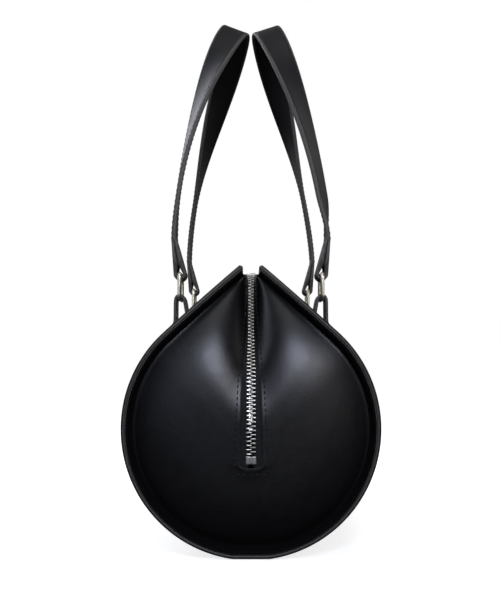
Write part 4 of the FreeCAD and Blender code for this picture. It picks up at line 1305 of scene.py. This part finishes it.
def studio_world(stage):
    """The room: white to the camera, and to the bag a dim light that grows paler behind it."""
    start, full = 0.3, 0.9  # how far back a direction points where that light starts to grow and is full
    world = bpy.data.worlds.new("studio")
    world.use_nodes = True
    background = world.node_tree.nodes["Background"]
    background.inputs["Color"].default_value = (*stage.backdrop_colour, 1)
    seen = add_node(world, "LightPath")
    way = add_node(world, "TexCoord")
    parts = add_node(world, "SeparateXYZ", {0: way.outputs["Generated"]})
    behind = add_node(
        world, "MapRange", {"Value": parts.outputs["Y"]},
        From_Min=start, From_Max=full, To_Min=stage.room_fill, To_Max=stage.back_fill)
    fill = add_node(
        world, "MapRange", {"Value": seen.outputs["Is Camera Ray"], "To Min": behind.outputs[0]})
    world.node_tree.links.new(fill.outputs[0], background.inputs["Strength"])
    return world


class BAG_OT_stage(BagOperator, bpy.types.Operator):
    """Set up the floor, the light and the camera"""
    bl_idname = "barrel_bag.stage"
    bl_label = "Stage"

    def execute(self, context):
        scene, stage = context.scene, context.scene.barrel_bag.stage
        line = np.array([-stage.floor, stage.floor])
        points = stack(line[:, None], line, -stage.floor_drop)
        floor = Mesh().add(points, grid_faces(2, 2)[:, ::-1]).build("floor", [paper_material(stage)])
        scene.world = studio_world(stage)
        target = np.array(stage.target)
        for name, turn, climb, reach, size, watts, code in LIGHTS:
            turn, climb = math.radians(turn), math.radians(climb)
            level = math.cos(climb)
            way = np.array([math.sin(turn) * level, -math.cos(turn) * level, math.sin(climb)])
            add_light(name, target + way * reach, target, size, watts, code)
        camera = bpy.data.cameras.new("camera")
        camera.lens = stage.lens
        viewer = bpy.data.objects.new("camera", camera)
        viewer.location = (stage.aside, -stage.distance, stage.height)
        viewer.rotation_euler = (math.pi / 2 + stage.pitch, 0, 0)
        scene.collection.objects.link(viewer)
        scene.camera = viewer
        scene.view_settings.view_transform = "Standard"
        return {"FINISHED"}


class BAG_PT_panel(bpy.types.Panel):
    """Sizes and build buttons"""
    bl_idname = "BAG_PT_panel"
    bl_label = "Barrel bag"
    bl_space_type = "VIEW_3D"
    bl_region_type = "UI"
    bl_category = "Barrel bag"

    def draw(self, context):
        sizes = context.scene.barrel_bag
        for group in (sizes.body, sizes.zip, sizes.fittings, sizes.looks, sizes.stage):
            box = self.layout.box()
            for key in group.__annotations__:
                box.prop(group, key)
        for operator in OPERATORS:
            self.layout.operator(operator.bl_idname)


GROUPS = (BodySizes, ZipSizes, FittingSizes, LookSizes, StageSizes, BagSizes)
OPERATORS = (BAG_OT_body, BAG_OT_zip, BAG_OT_fittings, BAG_OT_handles, BAG_OT_stage)


def register():
    """Registers the properties, the operators and the panel."""
    for item in GROUPS + OPERATORS + (BAG_PT_panel,):
        bpy.utils.register_class(item)
    bpy.types.Scene.barrel_bag = bpy.props.PointerProperty(type=BagSizes)


def unregister():
    """Takes them away again."""
    del bpy.types.Scene.barrel_bag
    for item in reversed(GROUPS + OPERATORS + (BAG_PT_panel,)):
        bpy.utils.unregister_class(item)


def main():
    """Builds every piece."""
    register()
    bpy.ops.barrel_bag.body()
    bpy.ops.barrel_bag.zip()
    bpy.ops.barrel_bag.fittings()
    bpy.ops.barrel_bag.handles()
    bpy.ops.barrel_bag.stage()


if __name__ == "__main__":
    main()
